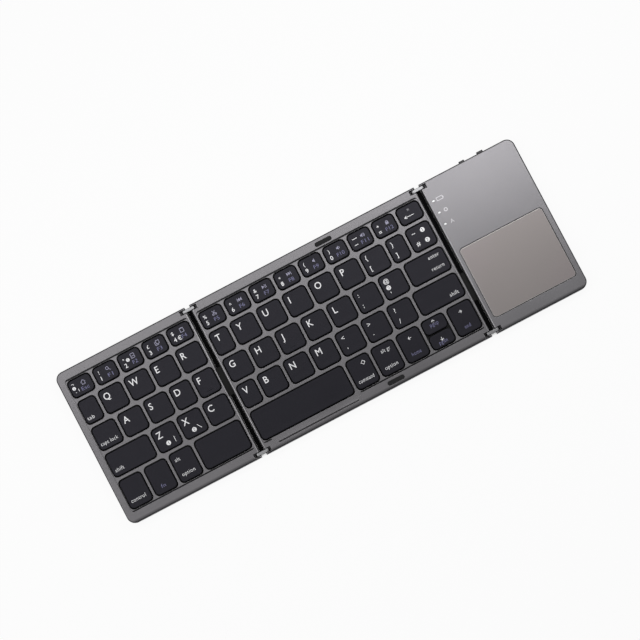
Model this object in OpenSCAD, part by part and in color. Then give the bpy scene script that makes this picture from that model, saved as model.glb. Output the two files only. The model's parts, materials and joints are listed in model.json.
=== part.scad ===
// Folding keyboard in three panels: letter keys on the left and middle panels, and a
// touchpad on the right one. The outer panels fold up and over onto the middle one.
// +X runs to the right, +Y to the rear, +Z up. The feet stand on z = 0, and the origin
// is the middle of the open keyboard's footprint.

/* [Keys] */
// Sideways pitch of a key that is one unit wide
key_pitch = 17.2; // [16:0.1:18.5]
// Pitch of the letter rows from rear to front
row_pitch = 17.5; // [16:0.1:18.5]
// Web between two key holes of one row
key_gap = 1.3; // [1:0.1:1.8]
// Web between two rows of key holes
row_gap = 1.6; // [1.2:0.1:2]
// Depth of the key holes in the number row
number_row_depth = 11.8; // [10.8:0.1:13]
// Depth of the key holes in the space bar's row
space_row_depth = 19.6; // [18.8:0.1:21]
// Corner radius of a key hole
hole_corner_r = 3; // [2:0.1:3.2]
// Gap between a keycap and its hole
cap_gap = 0.6; // [0.4:0.05:0.7]
// Height of a keycap
cap_height = 2.2; // [1.9:0.1:2.4]
// Thickness of a keycap's side wall
cap_wall = 0.9; // [0.7:0.05:1]
// Thickness of a keycap's top
cap_top = 0.9; // [0.7:0.05:1.1]
// Distance of the keycaps' tops below the rim
cap_sink = 0.3; // [0.2:0.05:0.5]
// Gap between the two half-depth arrow keys
half_key_gap = 0.7; // [0.5:0.05:1]
// Width of the left panel's rows, in key units
left_units = 4.79; // [4.7:0.01:5.2]
// Width of the middle panel's rows, in key units
middle_units = 8.61; // [8.55:0.01:9.2]

/* [Case] */
// Width of the touchpad's panel
touch_width = 61.4; // [60:0.2:70]
// Thickness of a panel without its feet
panel_thick = 6.8; // [6.6:0.1:7.6]
// Wall between the key tray and the rear edge
rear_wall = 5.6; // [5.4:0.1:7]
// Wall between the key tray and the front edge
front_wall = 6.4; // [6.4:0.1:8]
// Wall between the key tray and the left end
end_wall = 4; // [3:0.1:6]
// Wall between the key tray and a hinge edge
hinge_wall = 1.2; // [1.1:0.05:2]
// Margin between the tray's rear and front walls and the key holes
row_margin = 1; // [0.6:0.1:1.6]
// Margin between the tray's side walls and the key holes
side_margin = 0.25; // [0.2:0.05:0.8]
// Depth of the key tray below the rim
tray_depth = 1; // [0.8:0.05:1.2]
// Thickness of the web between the keys
deck_thick = 1; // [0.8:0.05:1.1]
// Corner radius of the key tray
tray_corner_r = 2; // [1.4:0.1:2.6]
// Radius of the case's outer corners, seen from above
corner_r = 5; // [4:0.1:7]
// Rounding of the rim's upper edge
rim_r = 0.8; // [0.5:0.05:0.9]
// Height of the bottom covers
cover_height = 2.2; // [2:0.05:2.4]
// Thickness of the bottom covers' floor
floor_thick = 1; // [0.9:0.05:1.1]
// Rounding of the bottom covers' lower edge
base_r = 0.8; // [0.4:0.05:1]
// Width of the thumb notch in front of the space bar, at its mouth
notch_width = 59; // [50:1:62]
// Depth of the thumb notch
notch_depth = 2.5; // [2:0.1:3.5]
// Depth of the slope from the notch's foot up to the rim
notch_slope = 1; // [0.5:0.1:1.5]
// Sideways slant of each end of the thumb notch
notch_slant = 3; // [1:0.5:5]
// Distance of the thumb notch from the tray's left wall
notch_start = 5.6; // [3:0.1:8]

/* [Hinges] */
// Gap between two open panels
hinge_gap = 3.2; // [3.2:0.05:3.8]
// Gap between two folded panels
closed_gap = 0.4; // [0.3:0.05:0.6]
// Depth of the hinge axes below the rim
pivot_drop = 2.6; // [2.5:0.05:2.8]
// Rounding of the panels' upper edges beside a hinge
hinge_edge_r = 1; // [0.8:0.05:1.1]
// Half the height of a hinge link, and the radius of its ends
link_r = 1.8; // [1.6:0.05:1.9]
// Thickness of a hinge link
link_thick = 2; // [1.4:0.1:2]
// Distance of a hinge link from the rear or front edge
link_inset = 1.35; // [1.2:0.05:1.5]
// Sideways play of a link in its pocket
pocket_play = 0.4; // [0.3:0.05:0.5]
// Room past a link's round end
pocket_end_play = 1; // [0.6:0.1:1.4]
// Room under a link
pocket_under = 0.3; // [0.25:0.05:0.5]
// Diameter of the hinge pins
pin_d = 1.4; // [1.2:0.05:1.6]
// Radial running clearance of the hinge pins in the panels
pin_play = 0.05; // [0.03:0.01:0.09]
// Wall left outside the end of a hinge pin
pin_skin = 0.5; // [0.4:0.05:0.6]
// Wall left inside the end of a hinge pin
pin_stop = 0.4; // [0.3:0.05:0.6]
// Gap between the spine bar and the open panels
spine_play = 0.5; // [0.4:0.05:0.6]
// Height of the spine bar above the feet's bearing face
spine_lift = 0.9; // [0.8:0.05:1.2]
// Radial fit of a link's eye on its pin
eye_fit = 0.02; // [0.01:0.01:0.04]
// Width of the ribbon cables through the hinges
ribbon_width = 18; // [8:0.5:18]
// Distance of the left ribbon cable's middle from the rear edge
left_ribbon_at = 49.4; // [45:0.2:54]
// Distance of the right ribbon cable's middle from the rear edge
right_ribbon_at = 66.9; // [60:0.1:72]
// Length of the recess in the left panel's edge over its ribbon cable
recess_length = 20.6; // [19:0.1:22]
// Depth of that recess
recess_depth = 0.6; // [0.4:0.05:0.7]

/* [Key works] */
// Thickness of the steel key plate
plate_thick = 0.5; // [0.4:0.05:0.6]
// Gap all round the key plate
plate_gap = 0.4; // [0.3:0.05:0.6]
// Thickness of the rubber sheet that carries the domes
sheet_thick = 0.3; // [0.2:0.05:0.4]
// Diameter of a rubber dome at its foot
dome_d = 4; // [3.4:0.1:4.2]
// Diameter of a rubber dome's top
dome_top_d = 2.2; // [1.6:0.1:2.6]
// Gap between a dome and its keycap
dome_play = 0.1; // [0.05:0.01:0.15]
// Thickness of a scissor's bars, and their width
scissor_bar = 0.7; // [0.5:0.05:0.8]
// Widest scissor under one key
scissor_width = 11; // [10:0.5:12]
// Gap between a scissor and what it stands on, lifts or passes
scissor_gap = 0.2; // [0.15:0.05:0.3]
// Diameter of a scissor's middle pins
scissor_pin_d = 0.4; // [0.3:0.05:0.5]
// Key width from which a key has two scissors
wide_key = 22; // [20:1:24]

/* [Touch panel] */
// Width of the touchpad
pad_width = 54.5; // [50:0.1:55]
// Depth of the touchpad
pad_depth = 45.3; // [40:0.1:47]
// Corner radius of the touchpad
pad_corner_r = 2; // [1:0.1:3]
// Distance of the touchpad from the hinge edge
pad_inset = 3.1; // [2.9:0.05:4]
// Distance of the touchpad from the front edge
pad_front = 8.9; // [8:0.1:10]
// Groove round the touchpad
pad_groove = 0.35; // [0.25:0.05:0.5]
// Distance of the touchpad's face below the rim
pad_sink = 0.15; // [0.1:0.05:0.3]
// Thickness of the upper skin of the touch panel
skin_thick = 1; // [0.9:0.05:1.1]
// Wall of the touch panel's covers
touch_wall = 1.8; // [1.6:0.05:1.9]
// Width that the touchpad's board is glued on under the skin
board_lap = 0.9; // [0.6:0.05:1]
// Thickness of the circuit boards
board_thick = 0.8; // [0.6:0.05:1]
// Height of the posts under the main board
board_lift = 0.7; // [0.6:0.05:0.9]
// Width of the battery
battery_width = 46; // [40:1:48]
// Depth of the battery
battery_depth = 38; // [30:1:40]
// Thickness of the battery
battery_thick = 3; // [2.6:0.1:3.2]
// Distance of the indicator lamps from the hinge edge
lamp_inset = 3.3; // [3:0.05:3.6]
// Distance of the first indicator lamp from the rear edge
lamp_first = 12.8; // [11:0.1:15]
// Pitch of the indicator lamps
lamp_pitch = 7.6; // [5:0.1:7.8]
// Width of an indicator lamp's lens
lamp_width = 1.6; // [1.2:0.1:1.8]
// Depth of an indicator lamp's lens
lamp_depth = 1.1; // [0.8:0.1:1.1]
// Gap round a lens in the cover
lamp_gap = 0.1; // [0.05:0.01:0.15]

/* [Controls on the rear edge] */
// Distance of the power slider's middle from the hinge edge
slider_at = 29; // [26:0.1:31]
// Width of the power slider's knob
slider_width = 3.6; // [3:0.1:4.4]
// How far the power slider's knob stands out
slider_out = 1; // [0.5:0.05:1.2]
// Travel of the power slider
slider_travel = 2; // [1.5:0.1:2.4]
// Distance of the pairing button's middle from the hinge edge
button_at = 41.1; // [40:0.1:43]
// Width of the pairing button
button_width = 4.1; // [3:0.1:4.6]
// How far the pairing button stands out
button_out = 1.2; // [0.6:0.05:1.6]
// Travel of the pairing button
button_travel = 0.4; // [0.25:0.05:0.5]
// Height of the knob and of the button
control_height = 1.6; // [1.2:0.05:1.8]
// Gap round the knob and the button in the rear wall
control_gap = 0.15; // [0.1:0.05:0.25]
// Distance of the charging socket's middle from the hinge edge
socket_at = 16; // [15:0.1:17]
// Width of the charging socket's shell
socket_width = 8.9; // [7:0.1:9.2]
// Height of the charging socket's shell
socket_height = 2.8; // [2.4:0.05:2.9]
// Length of the charging socket
socket_length = 7; // [6:0.1:8]

/* [Screws and feet] */
// Diameter of the case screws
screw_d = 1.6; // [1.4:0.05:1.8]
// Diameter of a screw's head
screw_head_d = 3.2; // [2.8:0.05:3.4]
// Thickness of a screw's head
screw_head = 0.6; // [0.5:0.05:0.7]
// Length of a screw with its head
screw_length = 5; // [4.6:0.1:5.2]
// Distance of the screws from the ends of a key panel
screw_inset = 12; // [10:0.5:16]
// Length of a rubber foot
foot_length = 16; // [10:0.5:18]
// Width of a rubber foot
foot_width = 5; // [4:0.1:5.5]
// Height of a foot below the covers
foot_proud = 0.6; // [0.5:0.05:0.8]
// Depth of a foot's seat in its cover
foot_seat = 0.4; // [0.3:0.05:0.5]
// Distance of the feet's middles from the rear and front edges
foot_edge = 11; // [9.5:0.1:14]
// Distance of the feet's middles from the ends of a panel
foot_end = 15; // [14:0.5:16]
// Length of a fold bumper
bumper_length = 11; // [8:0.5:14]
// Width of a fold bumper
bumper_width = 2.6; // [2:0.1:2.8]
// Distance of a fold bumper's middle from the case's edge
bumper_inset = 3.5; // [3:0.1:3.8]
// Depth of a fold bumper's seat
bumper_seat = 0.6; // [0.4:0.05:0.8]
// Gap between a fold bumper and the panel folded onto it
bumper_play = 0.1; // [0.05:0.01:0.15]

/* [Hidden] */
$fn = 40;

cut = 0.5;              // how far a cutting shape runs past the surface it opens
root = 0.2;             // how far a post is rooted in the wall that carries it
seam = 0.02;            // fit between pieces that are pressed or screwed together
screw_slack = 0.3;      // how much wider a cover's screw hole is than the screw
screw_sink = 0.1;       // depth of a screw's head below its cover's face
screw_tip = 0.1;        // room past a screw's end
cross_length = 1.8;     // cross recess in a screw's head
cross_width = 0.3;
cross_depth = 0.3;
pin_end_play = 0.05;    // room at both ends of a hinge pin
case_grey = [0.60, 0.60, 0.62];
cover_grey = [0.36, 0.36, 0.38];
key_black = [0.14, 0.14, 0.15];
link_silver = [0.80, 0.80, 0.81];
steel = [0.66, 0.67, 0.68];
rubber_black = [0.08, 0.08, 0.08];
dome_black = [0.10, 0.10, 0.11];
spine_black = [0.06, 0.06, 0.065];
scissor_grey = [0.20, 0.20, 0.21];
film_black = [0.12, 0.11, 0.11];
board_green = [0.10, 0.35, 0.20];
chip_black = [0.12, 0.12, 0.13];
pad_grey = [0.50, 0.48, 0.48];
foil_grey = [0.70, 0.70, 0.72];
lens_white = [0.95, 0.95, 0.97];

// Key widths in units, row by row from the rear. A 0 takes what is left of the row.
left_rows = [
    [0.965, 0.95, 0.95, 0.95, 0],
    [0.785, 0.995, 0.995, 0.995, 0],
    [1.01, 0.995, 0.995, 0.88, 0],
    [1.77, 0.995, 0.995, 0],
    [0.98, 0.96, 0.97, 0]
];
middle_rows = [
    [0.98, 0.955, 0.955, 0.955, 0.95, 0.945, 0.945, 0.945, 0],
    [0.81, 1.02, 1, 1, 1, 1, 0.995, 0.77, 0],
    [1.01, 1, 1, 1, 1, 1, 1, 0],
    [0.80, 1.005, 1.005, 1, 1, 1, 1, 0],
    [3.685, 0.975, 0.97, 0.97, 0.99, 0]
];
number_row = 0;
upper_row = 1;
home_row = 2;
lower_row = 3;
space_row = 4;
up_down_key = 4;        // place of the two half-depth keys in the middle panel's space row

// Depths and widths of the case
rows_depth = number_row_depth + row_gap + 3 * row_pitch + space_row_depth;
case_depth = rear_wall + row_margin + rows_depth + row_margin + front_wall;
left_holes = left_units * key_pitch - key_gap;
middle_holes = middle_units * key_pitch - key_gap;
left_tray = left_holes + 2 * side_margin;
middle_tray = middle_holes + 2 * side_margin;
left_width = end_wall + left_tray + hinge_wall;
middle_width = hinge_wall + middle_tray + hinge_wall;
case_width = left_width + middle_width + touch_width + 2 * hinge_gap;
y_rear = (case_depth - max(slider_out, button_out)) / 2;
y_front = y_rear - case_depth;

// Edges of the panels along X
left_end = -case_width / 2;
left_hinge_edge = left_end + left_width;
middle_left = left_hinge_edge + hinge_gap;
middle_right = middle_left + middle_width;
touch_hinge_edge = middle_right + hinge_gap;
right_end = touch_hinge_edge + touch_width;
left_axis_x = left_hinge_edge + hinge_gap / 2;
right_axis_x = middle_right + hinge_gap / 2;
left_tray_x = left_end + end_wall;
middle_tray_x = middle_left + hinge_wall;

// Heights
base_z = foot_proud;
floor_z = base_z + floor_thick;
part_z = base_z + cover_height;
rim_z = base_z + panel_thick;
deck_z = rim_z - tray_depth;
deck_low_z = deck_z - deck_thick;
cap_top_z = rim_z - cap_sink;
cap_low_z = cap_top_z - cap_height;
cap_roof_z = cap_top_z - cap_top;
plate_z = floor_z + plate_thick;
sheet_z = plate_z + sheet_thick;
dome_waist = 0.65;      // share of a dome's height that tapers
pivot_z = rim_z - pivot_drop;
skin_z = rim_z - skin_thick;

// Hinges: two axes per hinge, so that a folded panel lies flat on the next one
pivot_offset = pivot_drop + closed_gap / 2;
link_length = 2 * pivot_offset + 2 * link_r;
pocket_end = pivot_offset + link_r + pocket_end_play;
pocket_low_z = pivot_z - link_r - pocket_under;
pocket_y = link_inset - pocket_play;
pocket_width = link_thick + 2 * pocket_play;
spine_width = hinge_gap - 2 * spine_play;
spine_edge_r = 0.6;
pin_length = rear_wall - pin_skin - pin_stop;

// Ribbon cables through the hinges
ribbon_thick = 0.2;
ribbon_lift = 0.15;                 // gap between a ribbon and the spine bar
ribbon_z = pivot_z - link_r + ribbon_lift;
ribbon_room = 0.2;                  // gap round a ribbon in its slots
ribbon_tail = 1.6;                  // length of a ribbon inside a key panel
ribbon_tail_touch = 0.9;            // and inside the touch panel
ribbon_reach = hinge_gap / 2 + hinge_wall + ribbon_tail;
ribbon_reach_touch = hinge_gap / 2 + touch_wall + ribbon_tail_touch;

// Touch panel
board_z = floor_z + board_lift;
board_top_z = board_z + board_thick;
pad_x = touch_hinge_edge + pad_inset;
hinge_block_width = 9;
hinge_block_depth = rear_wall;
block_screw_inset = 2.4;            // from a hinge block's end to its screw
post_d = 4.4;
post_inset = 4.8;
control_rise = 1.2;                 // from the parting line to the knob and the button
control_z = part_z + control_rise;
flange_thick = 0.8;                 // flange that keeps the knob or the button inside
flange_rise = 0.6;                  // how far a flange reaches past its slot
flange_gap = 0.1;                   // gap between a flange, the wall and the switch
switch_depth = 3;                   // bodies of the two switches
switch_height = 2.2;
lamp_height = 0.7;
lamp_light_gap = 0.1;               // between a lamp and its lens
lens_proud = 0.05;                  // how far a lens stands above the rim
battery_corner_r = 1.5;
cap_inner_r = 0.7;
socket_sink = 0.3;                  // from the rear edge to the socket's mouth
slider_x = touch_hinge_edge + slider_at;
button_x = touch_hinge_edge + button_at;
socket_x = touch_hinge_edge + socket_at;

// Y of a point that lies the given depth in front of the rear edge
function at_depth(depth) = y_rear - depth;

// Sum of the first n items of a list
function sum_of(list, n) = n <= 0 ? 0 : list[n - 1] + sum_of(list, n - 1);

// Depth from the rear edge to a row of holes, and the depth of that row
function row_start(row) =
    rear_wall + row_margin
    + (row == number_row ? 0 : number_row_depth + row_gap + (row - 1) * row_pitch);
function row_depth(row) =
    row == number_row ? number_row_depth
    : row == space_row ? space_row_depth
    : row_pitch - row_gap;

// A key hole as [x, y, width, depth], with its lower left corner first
function hole(rows, tray_x, total, row, i) =
    let (
        units = rows[row][i] > 0 ? rows[row][i] : total - sum_of(rows[row], i)
    )
    [
        tray_x + side_margin + sum_of(rows[row], i) * key_pitch,
        at_depth(row_start(row) + row_depth(row)),
        units * key_pitch - key_gap,
        row_depth(row)
    ];
function left_hole(row, i) = hole(left_rows, left_tray_x, left_units, row, i);
function middle_hole(row, i) = hole(middle_rows, middle_tray_x, middle_units, row, i);

// The rear and front halves of a hole, for two keys that share it
function rear_half(h) = [h[0], h[1] + h[3] / 2 - cap_gap + half_key_gap / 2,
                         h[2], h[3] / 2 + cap_gap - half_key_gap / 2];
function front_half(h) = [h[0], h[1], h[2], h[3] / 2 + cap_gap - half_key_gap / 2];

// Every key's place, with the shared hole counted as two keys
left_keys = [
    for (row = [0 : len(left_rows) - 1])
        for (i = [0 : len(left_rows[row]) - 1])
            left_hole(row, i)
];
middle_keys = concat(
    [
        for (row = [0 : len(middle_rows) - 1])
            for (i = [0 : len(middle_rows[row]) - 1])
                if (!(row == space_row && i == up_down_key)) middle_hole(row, i)
    ],
    [rear_half(middle_hole(space_row, up_down_key)),
     front_half(middle_hole(space_row, up_down_key))]
);

// Rectangle with round corners
module round_rect(x, y, width, depth, r) {
    translate([x + r, y]) square([width - 2 * r, depth]);
    translate([x, y + r]) square([width, depth - 2 * r]);
    for (cx = [x + r, x + width - r])
        for (cy = [y + r, y + depth - r])
            translate([cx, cy]) circle(r);
}

// Slot with round ends along X, drawn about its middle
module slot(length, width) {
    translate([(width - length) / 2, -width / 2]) square([length - width, width]);
    for (side = [-1, 1])
        translate([side * (length - width) / 2, 0]) circle(width / 2);
}

// Upright profile of an edge: a block whose upper corner at 0 is rounded
module eased_edge(width, height, r) {
    translate([r, 0]) square([width - r, height]);
    square([r, height - r]);
    translate([r, height - r]) circle(r);
}

// Upright profile from front to rear, both upper corners rounded
module eased_bar(depth, height, r) {
    translate([r, 0]) square([depth - 2 * r, height]);
    square([depth, height - r]);
    for (c = [r, depth - r])
        translate([c, height - r]) circle(r);
}

// Block of a panel between two hinge edges, rounded along its upper edges
module inner_block(width, height, r, hinge_r) {
    intersection() {
        rotate([90, 0, 90]) linear_extrude(width) eased_bar(case_depth, height, r);
        translate([0, case_depth, 0]) rotate([90, 0, 0])
            linear_extrude(case_depth) eased_bar(width, height, hinge_r);
    }
}

// Block of a panel with its round-cornered end at x = 0 and a hinge edge at x = width
module end_block(width, height, r, hinge_r) {
    middle = case_depth - 2 * corner_r;
    intersection() {
        union() {
            translate([corner_r, 0, 0]) rotate([90, 0, 90])
                linear_extrude(width - corner_r) eased_bar(case_depth, height, r);
            translate([0, corner_r + middle, 0]) rotate([90, 0, 0])
                linear_extrude(middle) eased_edge(corner_r, height, r);
            for (side = [0, 1])
                translate([corner_r, side == 0 ? corner_r : corner_r + middle, 0])
                    rotate([0, 0, side == 0 ? 180 : 90]) rotate_extrude(angle = 90)
                        translate([corner_r, 0]) mirror([1, 0])
                            eased_edge(corner_r, height, r);
        }
        translate([-cut, case_depth + cut, 0]) rotate([90, 0, 0])
            linear_extrude(case_depth + 2 * cut)
                translate([width + cut, 0]) mirror([1, 0])
                    eased_edge(width + 2 * cut, height, hinge_r);
    }
}

// Upper and lower halves of the three panels, without their cuts
module upper_half(x, width, kind) {
    height = rim_z - part_z;
    translate([x, y_front, part_z])
        if (kind == "middle") inner_block(width, height, rim_r, hinge_edge_r);
        else if (kind == "left") end_block(width, height, rim_r, hinge_edge_r);
        else translate([width, 0, 0]) mirror([1, 0, 0])
            end_block(width, height, rim_r, hinge_edge_r);
}
module lower_half(x, width, kind) {
    translate([x, y_front, part_z]) mirror([0, 0, 1])
        if (kind == "middle") inner_block(width, cover_height, base_r, base_r);
        else if (kind == "left") end_block(width, cover_height, base_r, base_r);
        else translate([width, 0, 0]) mirror([1, 0, 0])
            end_block(width, cover_height, base_r, base_r);
}

// Pockets and pin bores of one hinge, cut in both panels at that hinge
module hinge_cuts(axis_x) {
    for (end = [0, 1]) {
        pocket_low = end == 0 ? at_depth(pocket_y + pocket_width) : y_front + pocket_y;
        translate([axis_x - pocket_end, pocket_low, pocket_low_z])
            cube([2 * pocket_end, pocket_width, rim_z - pocket_low_z + cut]);
        for (side = [-1, 1])
            translate([axis_x + side * pivot_offset, bore_start(end), pivot_z])
                rotate([end == 0 ? 90 : -90, 0, 0])
                    cylinder(d = pin_d + 2 * pin_play, h = pin_length + pin_stop + cut / 2);
    }
}
function bore_start(end) = end == 0 ? y_rear - pin_skin : y_front + pin_skin;

// Slot for a ribbon cable, through the walls beside a hinge
module ribbon_cut(axis_x, ribbon_at, reach) {
    translate([axis_x - reach, at_depth(ribbon_at) - ribbon_width / 2 - ribbon_room,
               ribbon_z - ribbon_room])
        cube([2 * reach, ribbon_width + 2 * ribbon_room, ribbon_thick + 2 * ribbon_room]);
}

// Recess in the left panel's hinge edge, over its ribbon cable
module ribbon_recess() {
    translate([left_hinge_edge - recess_depth, at_depth(left_ribbon_at) - recess_length / 2,
               part_z - cut])
        cube([recess_depth + cut, recess_length, rim_z - part_z + 2 * cut]);
}

// Screw places of a panel, as [x, y]
function key_screws(x, width, columns) = [
    for (c = [0 : columns - 1])
        for (y = [at_depth(rear_wall / 2), y_front + front_wall / 2])
            [x + screw_inset + c * (width - 2 * screw_inset) / (columns - 1), y]
];
left_screw_places = key_screws(left_end, left_width, 2);
middle_screw_places = key_screws(middle_left, middle_width, 3);
touch_screw_places = [
    [touch_hinge_edge + hinge_block_width - block_screw_inset, at_depth(rear_wall / 2)],
    [touch_hinge_edge + hinge_block_width - block_screw_inset, y_front + rear_wall / 2],
    [right_end - post_inset, at_depth(post_inset)],
    [right_end - post_inset, y_front + post_inset]
];

module screws(places) {
    for (p = places)
        translate([p[0], p[1], base_z + screw_sink])
            difference() {
                union() {
                    cylinder(d = screw_head_d, h = screw_head);
                    cylinder(d = screw_d, h = screw_length);
                }
                for (turn = [0, 90])
                    rotate([0, 0, turn]) translate([-cross_length / 2, -cross_width / 2, -cut])
                        cube([cross_length, cross_width, cut + cross_depth]);
            }
}
module screw_clearance(places) {
    for (p = places)
        translate([p[0], p[1], base_z]) {
            translate([0, 0, -cut])
                cylinder(d = screw_d + screw_slack, h = cover_height + 2 * cut);
            translate([0, 0, -cut])
                cylinder(d = screw_head_d + screw_slack, h = cut + screw_sink + screw_head);
        }
}
module screw_holes(places) {
    top = base_z + screw_sink + screw_length + screw_tip;
    for (p = places)
        translate([p[0], p[1], part_z - cut])
            cylinder(d = screw_d + 2 * seam, h = top - part_z + cut);
}

// Four feet in the corners of a panel
module feet(x, width) {
    for (fx = [x + foot_end, x + width - foot_end])
        for (fy = [at_depth(foot_edge), y_front + foot_edge])
            translate([fx, fy, 0]) linear_extrude(foot_proud + foot_seat)
                slot(foot_length, foot_width);
}
module foot_seats(x, width) {
    for (fx = [x + foot_end, x + width - foot_end])
        for (fy = [at_depth(foot_edge), y_front + foot_edge])
            translate([fx, fy, base_z - cut]) linear_extrude(cut + foot_seat)
                slot(foot_length + 2 * seam, foot_width + 2 * seam);
}

// The key tray, the room for the key works below it, and the key holes
module tray_cut(tray_x, tray_width, keys) {
    depth = case_depth - rear_wall - front_wall;
    low = y_front + front_wall;
    translate([0, 0, deck_z]) linear_extrude(tray_depth + cut)
        round_rect(tray_x, low, tray_width, depth, tray_corner_r);
    translate([0, 0, part_z - cut]) linear_extrude(deck_low_z - part_z + cut)
        round_rect(tray_x, low, tray_width, depth, tray_corner_r);
    translate([0, 0, deck_low_z - cut / 2])
        linear_extrude(deck_thick + cut)
            for (k = keys) round_rect(k[0], k[1], k[2], k[3], hole_corner_r);
}
module thumb_notch() {
    low = y_front + front_wall;
    x = middle_tray_x + notch_start;
    translate([0, 0, deck_z]) linear_extrude(tray_depth + cut)
        polygon([
            [x, low + cut],
            [x, low],
            [x + notch_slant, low - notch_depth],
            [x + notch_width - notch_slant, low - notch_depth],
            [x + notch_width, low],
            [x + notch_width, low + cut]
        ]);
    foot = low - notch_depth;
    translate([x + notch_slant, 0, 0]) rotate([90, 0, 90])
        linear_extrude(notch_width - 2 * notch_slant)
            polygon([
                [foot + cut, deck_z],
                [foot, deck_z],
                [foot - notch_slope, rim_z],
                [foot - notch_slope, rim_z + cut],
                [foot + cut, rim_z + cut]
            ]);
}

module left_top_frame() {
    holes = left_keys;
    color(case_grey)
        difference() {
            upper_half(left_end, left_width, "left");
            tray_cut(left_tray_x, left_tray, holes);
            hinge_cuts(left_axis_x);
            ribbon_cut(left_axis_x, left_ribbon_at, ribbon_reach);
            ribbon_recess();
            screw_holes(left_screw_places);
        }
}

module middle_top_frame() {
    shared = middle_hole(space_row, up_down_key);
    holes = concat([for (i = [0 : len(middle_keys) - 3]) middle_keys[i]], [shared]);
    color(case_grey)
        difference() {
            upper_half(middle_left, middle_width, "middle");
            tray_cut(middle_tray_x, middle_tray, holes);
            thumb_notch();
            hinge_cuts(left_axis_x);
            hinge_cuts(right_axis_x);
            ribbon_cut(left_axis_x, left_ribbon_at, ribbon_reach);
            ribbon_cut(right_axis_x, right_ribbon_at, ribbon_reach);
            screw_holes(middle_screw_places);
            bumper_places() translate([0, 0, rim_z - bumper_seat])
                linear_extrude(bumper_seat + cut)
                    slot(bumper_length + 2 * seam, bumper_width + 2 * seam);
        }
}

module key_panel_cover(x, width, kind, tray_x, tray_width, places) {
    difference() {
        lower_half(x, width, kind);
        translate([0, 0, floor_z]) linear_extrude(cover_height)
            round_rect(tray_x, y_front + front_wall, tray_width,
                       case_depth - rear_wall - front_wall, tray_corner_r);
        screw_clearance(places);
        foot_seats(x, width);
    }
}
module left_bottom_cover() {
    color(cover_grey)
        difference() {
            key_panel_cover(left_end, left_width, "left", left_tray_x, left_tray,
                            left_screw_places);
            hinge_cuts(left_axis_x);
        }
}
module middle_bottom_cover() {
    color(cover_grey)
        difference() {
            key_panel_cover(middle_left, middle_width, "middle", middle_tray_x, middle_tray,
                            middle_screw_places);
            hinge_cuts(left_axis_x);
            hinge_cuts(right_axis_x);
        }
}

// Steel plate under the keys, and the rubber sheet with a dome under each key
module sheet(tray_x, tray_width, low, thick) {
    translate([0, 0, low]) linear_extrude(thick)
        round_rect(tray_x + plate_gap, y_front + front_wall + plate_gap,
                   tray_width - 2 * plate_gap,
                   case_depth - rear_wall - front_wall - 2 * plate_gap,
                   tray_corner_r - plate_gap);
}
module key_plate(tray_x, tray_width) {
    color(steel) sheet(tray_x, tray_width, floor_z, plate_thick);
}
module domes(tray_x, tray_width, keys) {
    top = cap_roof_z - dome_play;
    foot = sheet_z - sheet_thick / 2;
    height = top - foot;
    color(dome_black) {
        sheet(tray_x, tray_width, plate_z, sheet_thick);
        for (k = keys)
            translate([k[0] + k[2] / 2, k[1] + k[3] / 2, foot]) {
                cylinder(d1 = dome_d, d2 = dome_top_d, h = height * dome_waist);
                cylinder(d = dome_top_d, h = height);
            }
    }
}

// A scissor: two frames that cross on two pins, one inside the other
module scissor_frame(width, depth) {
    difference() {
        cube([width, depth, scissor_bar], center = true);
        cube([width - 2 * scissor_bar, depth - 2 * scissor_bar, 2 * scissor_bar], center = true);
    }
}
module scissor(x, y, width, depth) {
    low = sheet_z + scissor_gap;
    high = cap_roof_z - scissor_gap;
    tilt = asin((high - low - scissor_bar) / depth);
    inner = width - 2 * scissor_bar - 2 * scissor_gap;
    translate([x, y, (low + high) / 2]) {
        rotate([tilt, 0, 0])
            difference() {
                scissor_frame(width, depth);
                rotate([0, 90, 0])
                    cylinder(d = scissor_pin_d + 2 * seam, h = width + 1, center = true, $fn = 16);
            }
        rotate([-tilt, 0, 0]) scissor_frame(inner, depth);
        for (side = [-1, 1])
            translate([side * (width - 2 * scissor_bar - scissor_gap - seam) / 2, 0, 0])
                rotate([0, 90, 0])
                    cylinder(d = scissor_pin_d, h = 2 * scissor_bar + scissor_gap - seam,
                             center = true, $fn = 16);
    }
}
module scissors(keys) {
    room = cap_gap + cap_wall + 2 * scissor_gap;
    dome_side = dome_d / 2 + scissor_gap;
    color(scissor_grey)
        for (k = keys) {
            depth = k[3] - 2 * room;
            x = k[0] + k[2] / 2;
            y = k[1] + k[3] / 2;
            reach = k[2] / 2 - room;
            if (k[2] > wide_key)
                // Two scissors, each midway between the dome and the keycap's end
                for (side = [-1, 1])
                    scissor(x + side * (dome_side + reach) / 2, y,
                            min(scissor_width, reach - dome_side), depth);
            else
                scissor(x, y, min(scissor_width, 2 * reach), depth);
        }
}

module left_key_plate() { key_plate(left_tray_x, left_tray); }
module left_domes() { domes(left_tray_x, left_tray, left_keys); }
module left_scissors() { scissors(left_keys); }
module left_screws() { color(steel) screws(left_screw_places); }
module left_feet() { color(rubber_black) feet(left_end, left_width); }
module middle_key_plate() { key_plate(middle_tray_x, middle_tray); }
module middle_domes() { domes(middle_tray_x, middle_tray, middle_keys); }
module middle_scissors() { scissors(middle_keys); }
module middle_screws() { color(steel) screws(middle_screw_places); }
module middle_feet() { color(rubber_black) feet(middle_left, middle_width); }

// The bumpers lie where the ends of the two folded panels meet
module bumper_places() {
    folded_left_end = 2 * left_axis_x - left_end;
    folded_right_end = 2 * right_axis_x - right_end;
    for (y = [at_depth(bumper_inset), y_front + bumper_inset])
        translate([(folded_left_end + folded_right_end) / 2, y, 0]) children();
}
module fold_bumpers() {
    color(rubber_black)
        bumper_places() translate([0, 0, rim_z - bumper_seat])
            linear_extrude(bumper_seat + closed_gap - bumper_play)
                slot(bumper_length, bumper_width);
}

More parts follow.
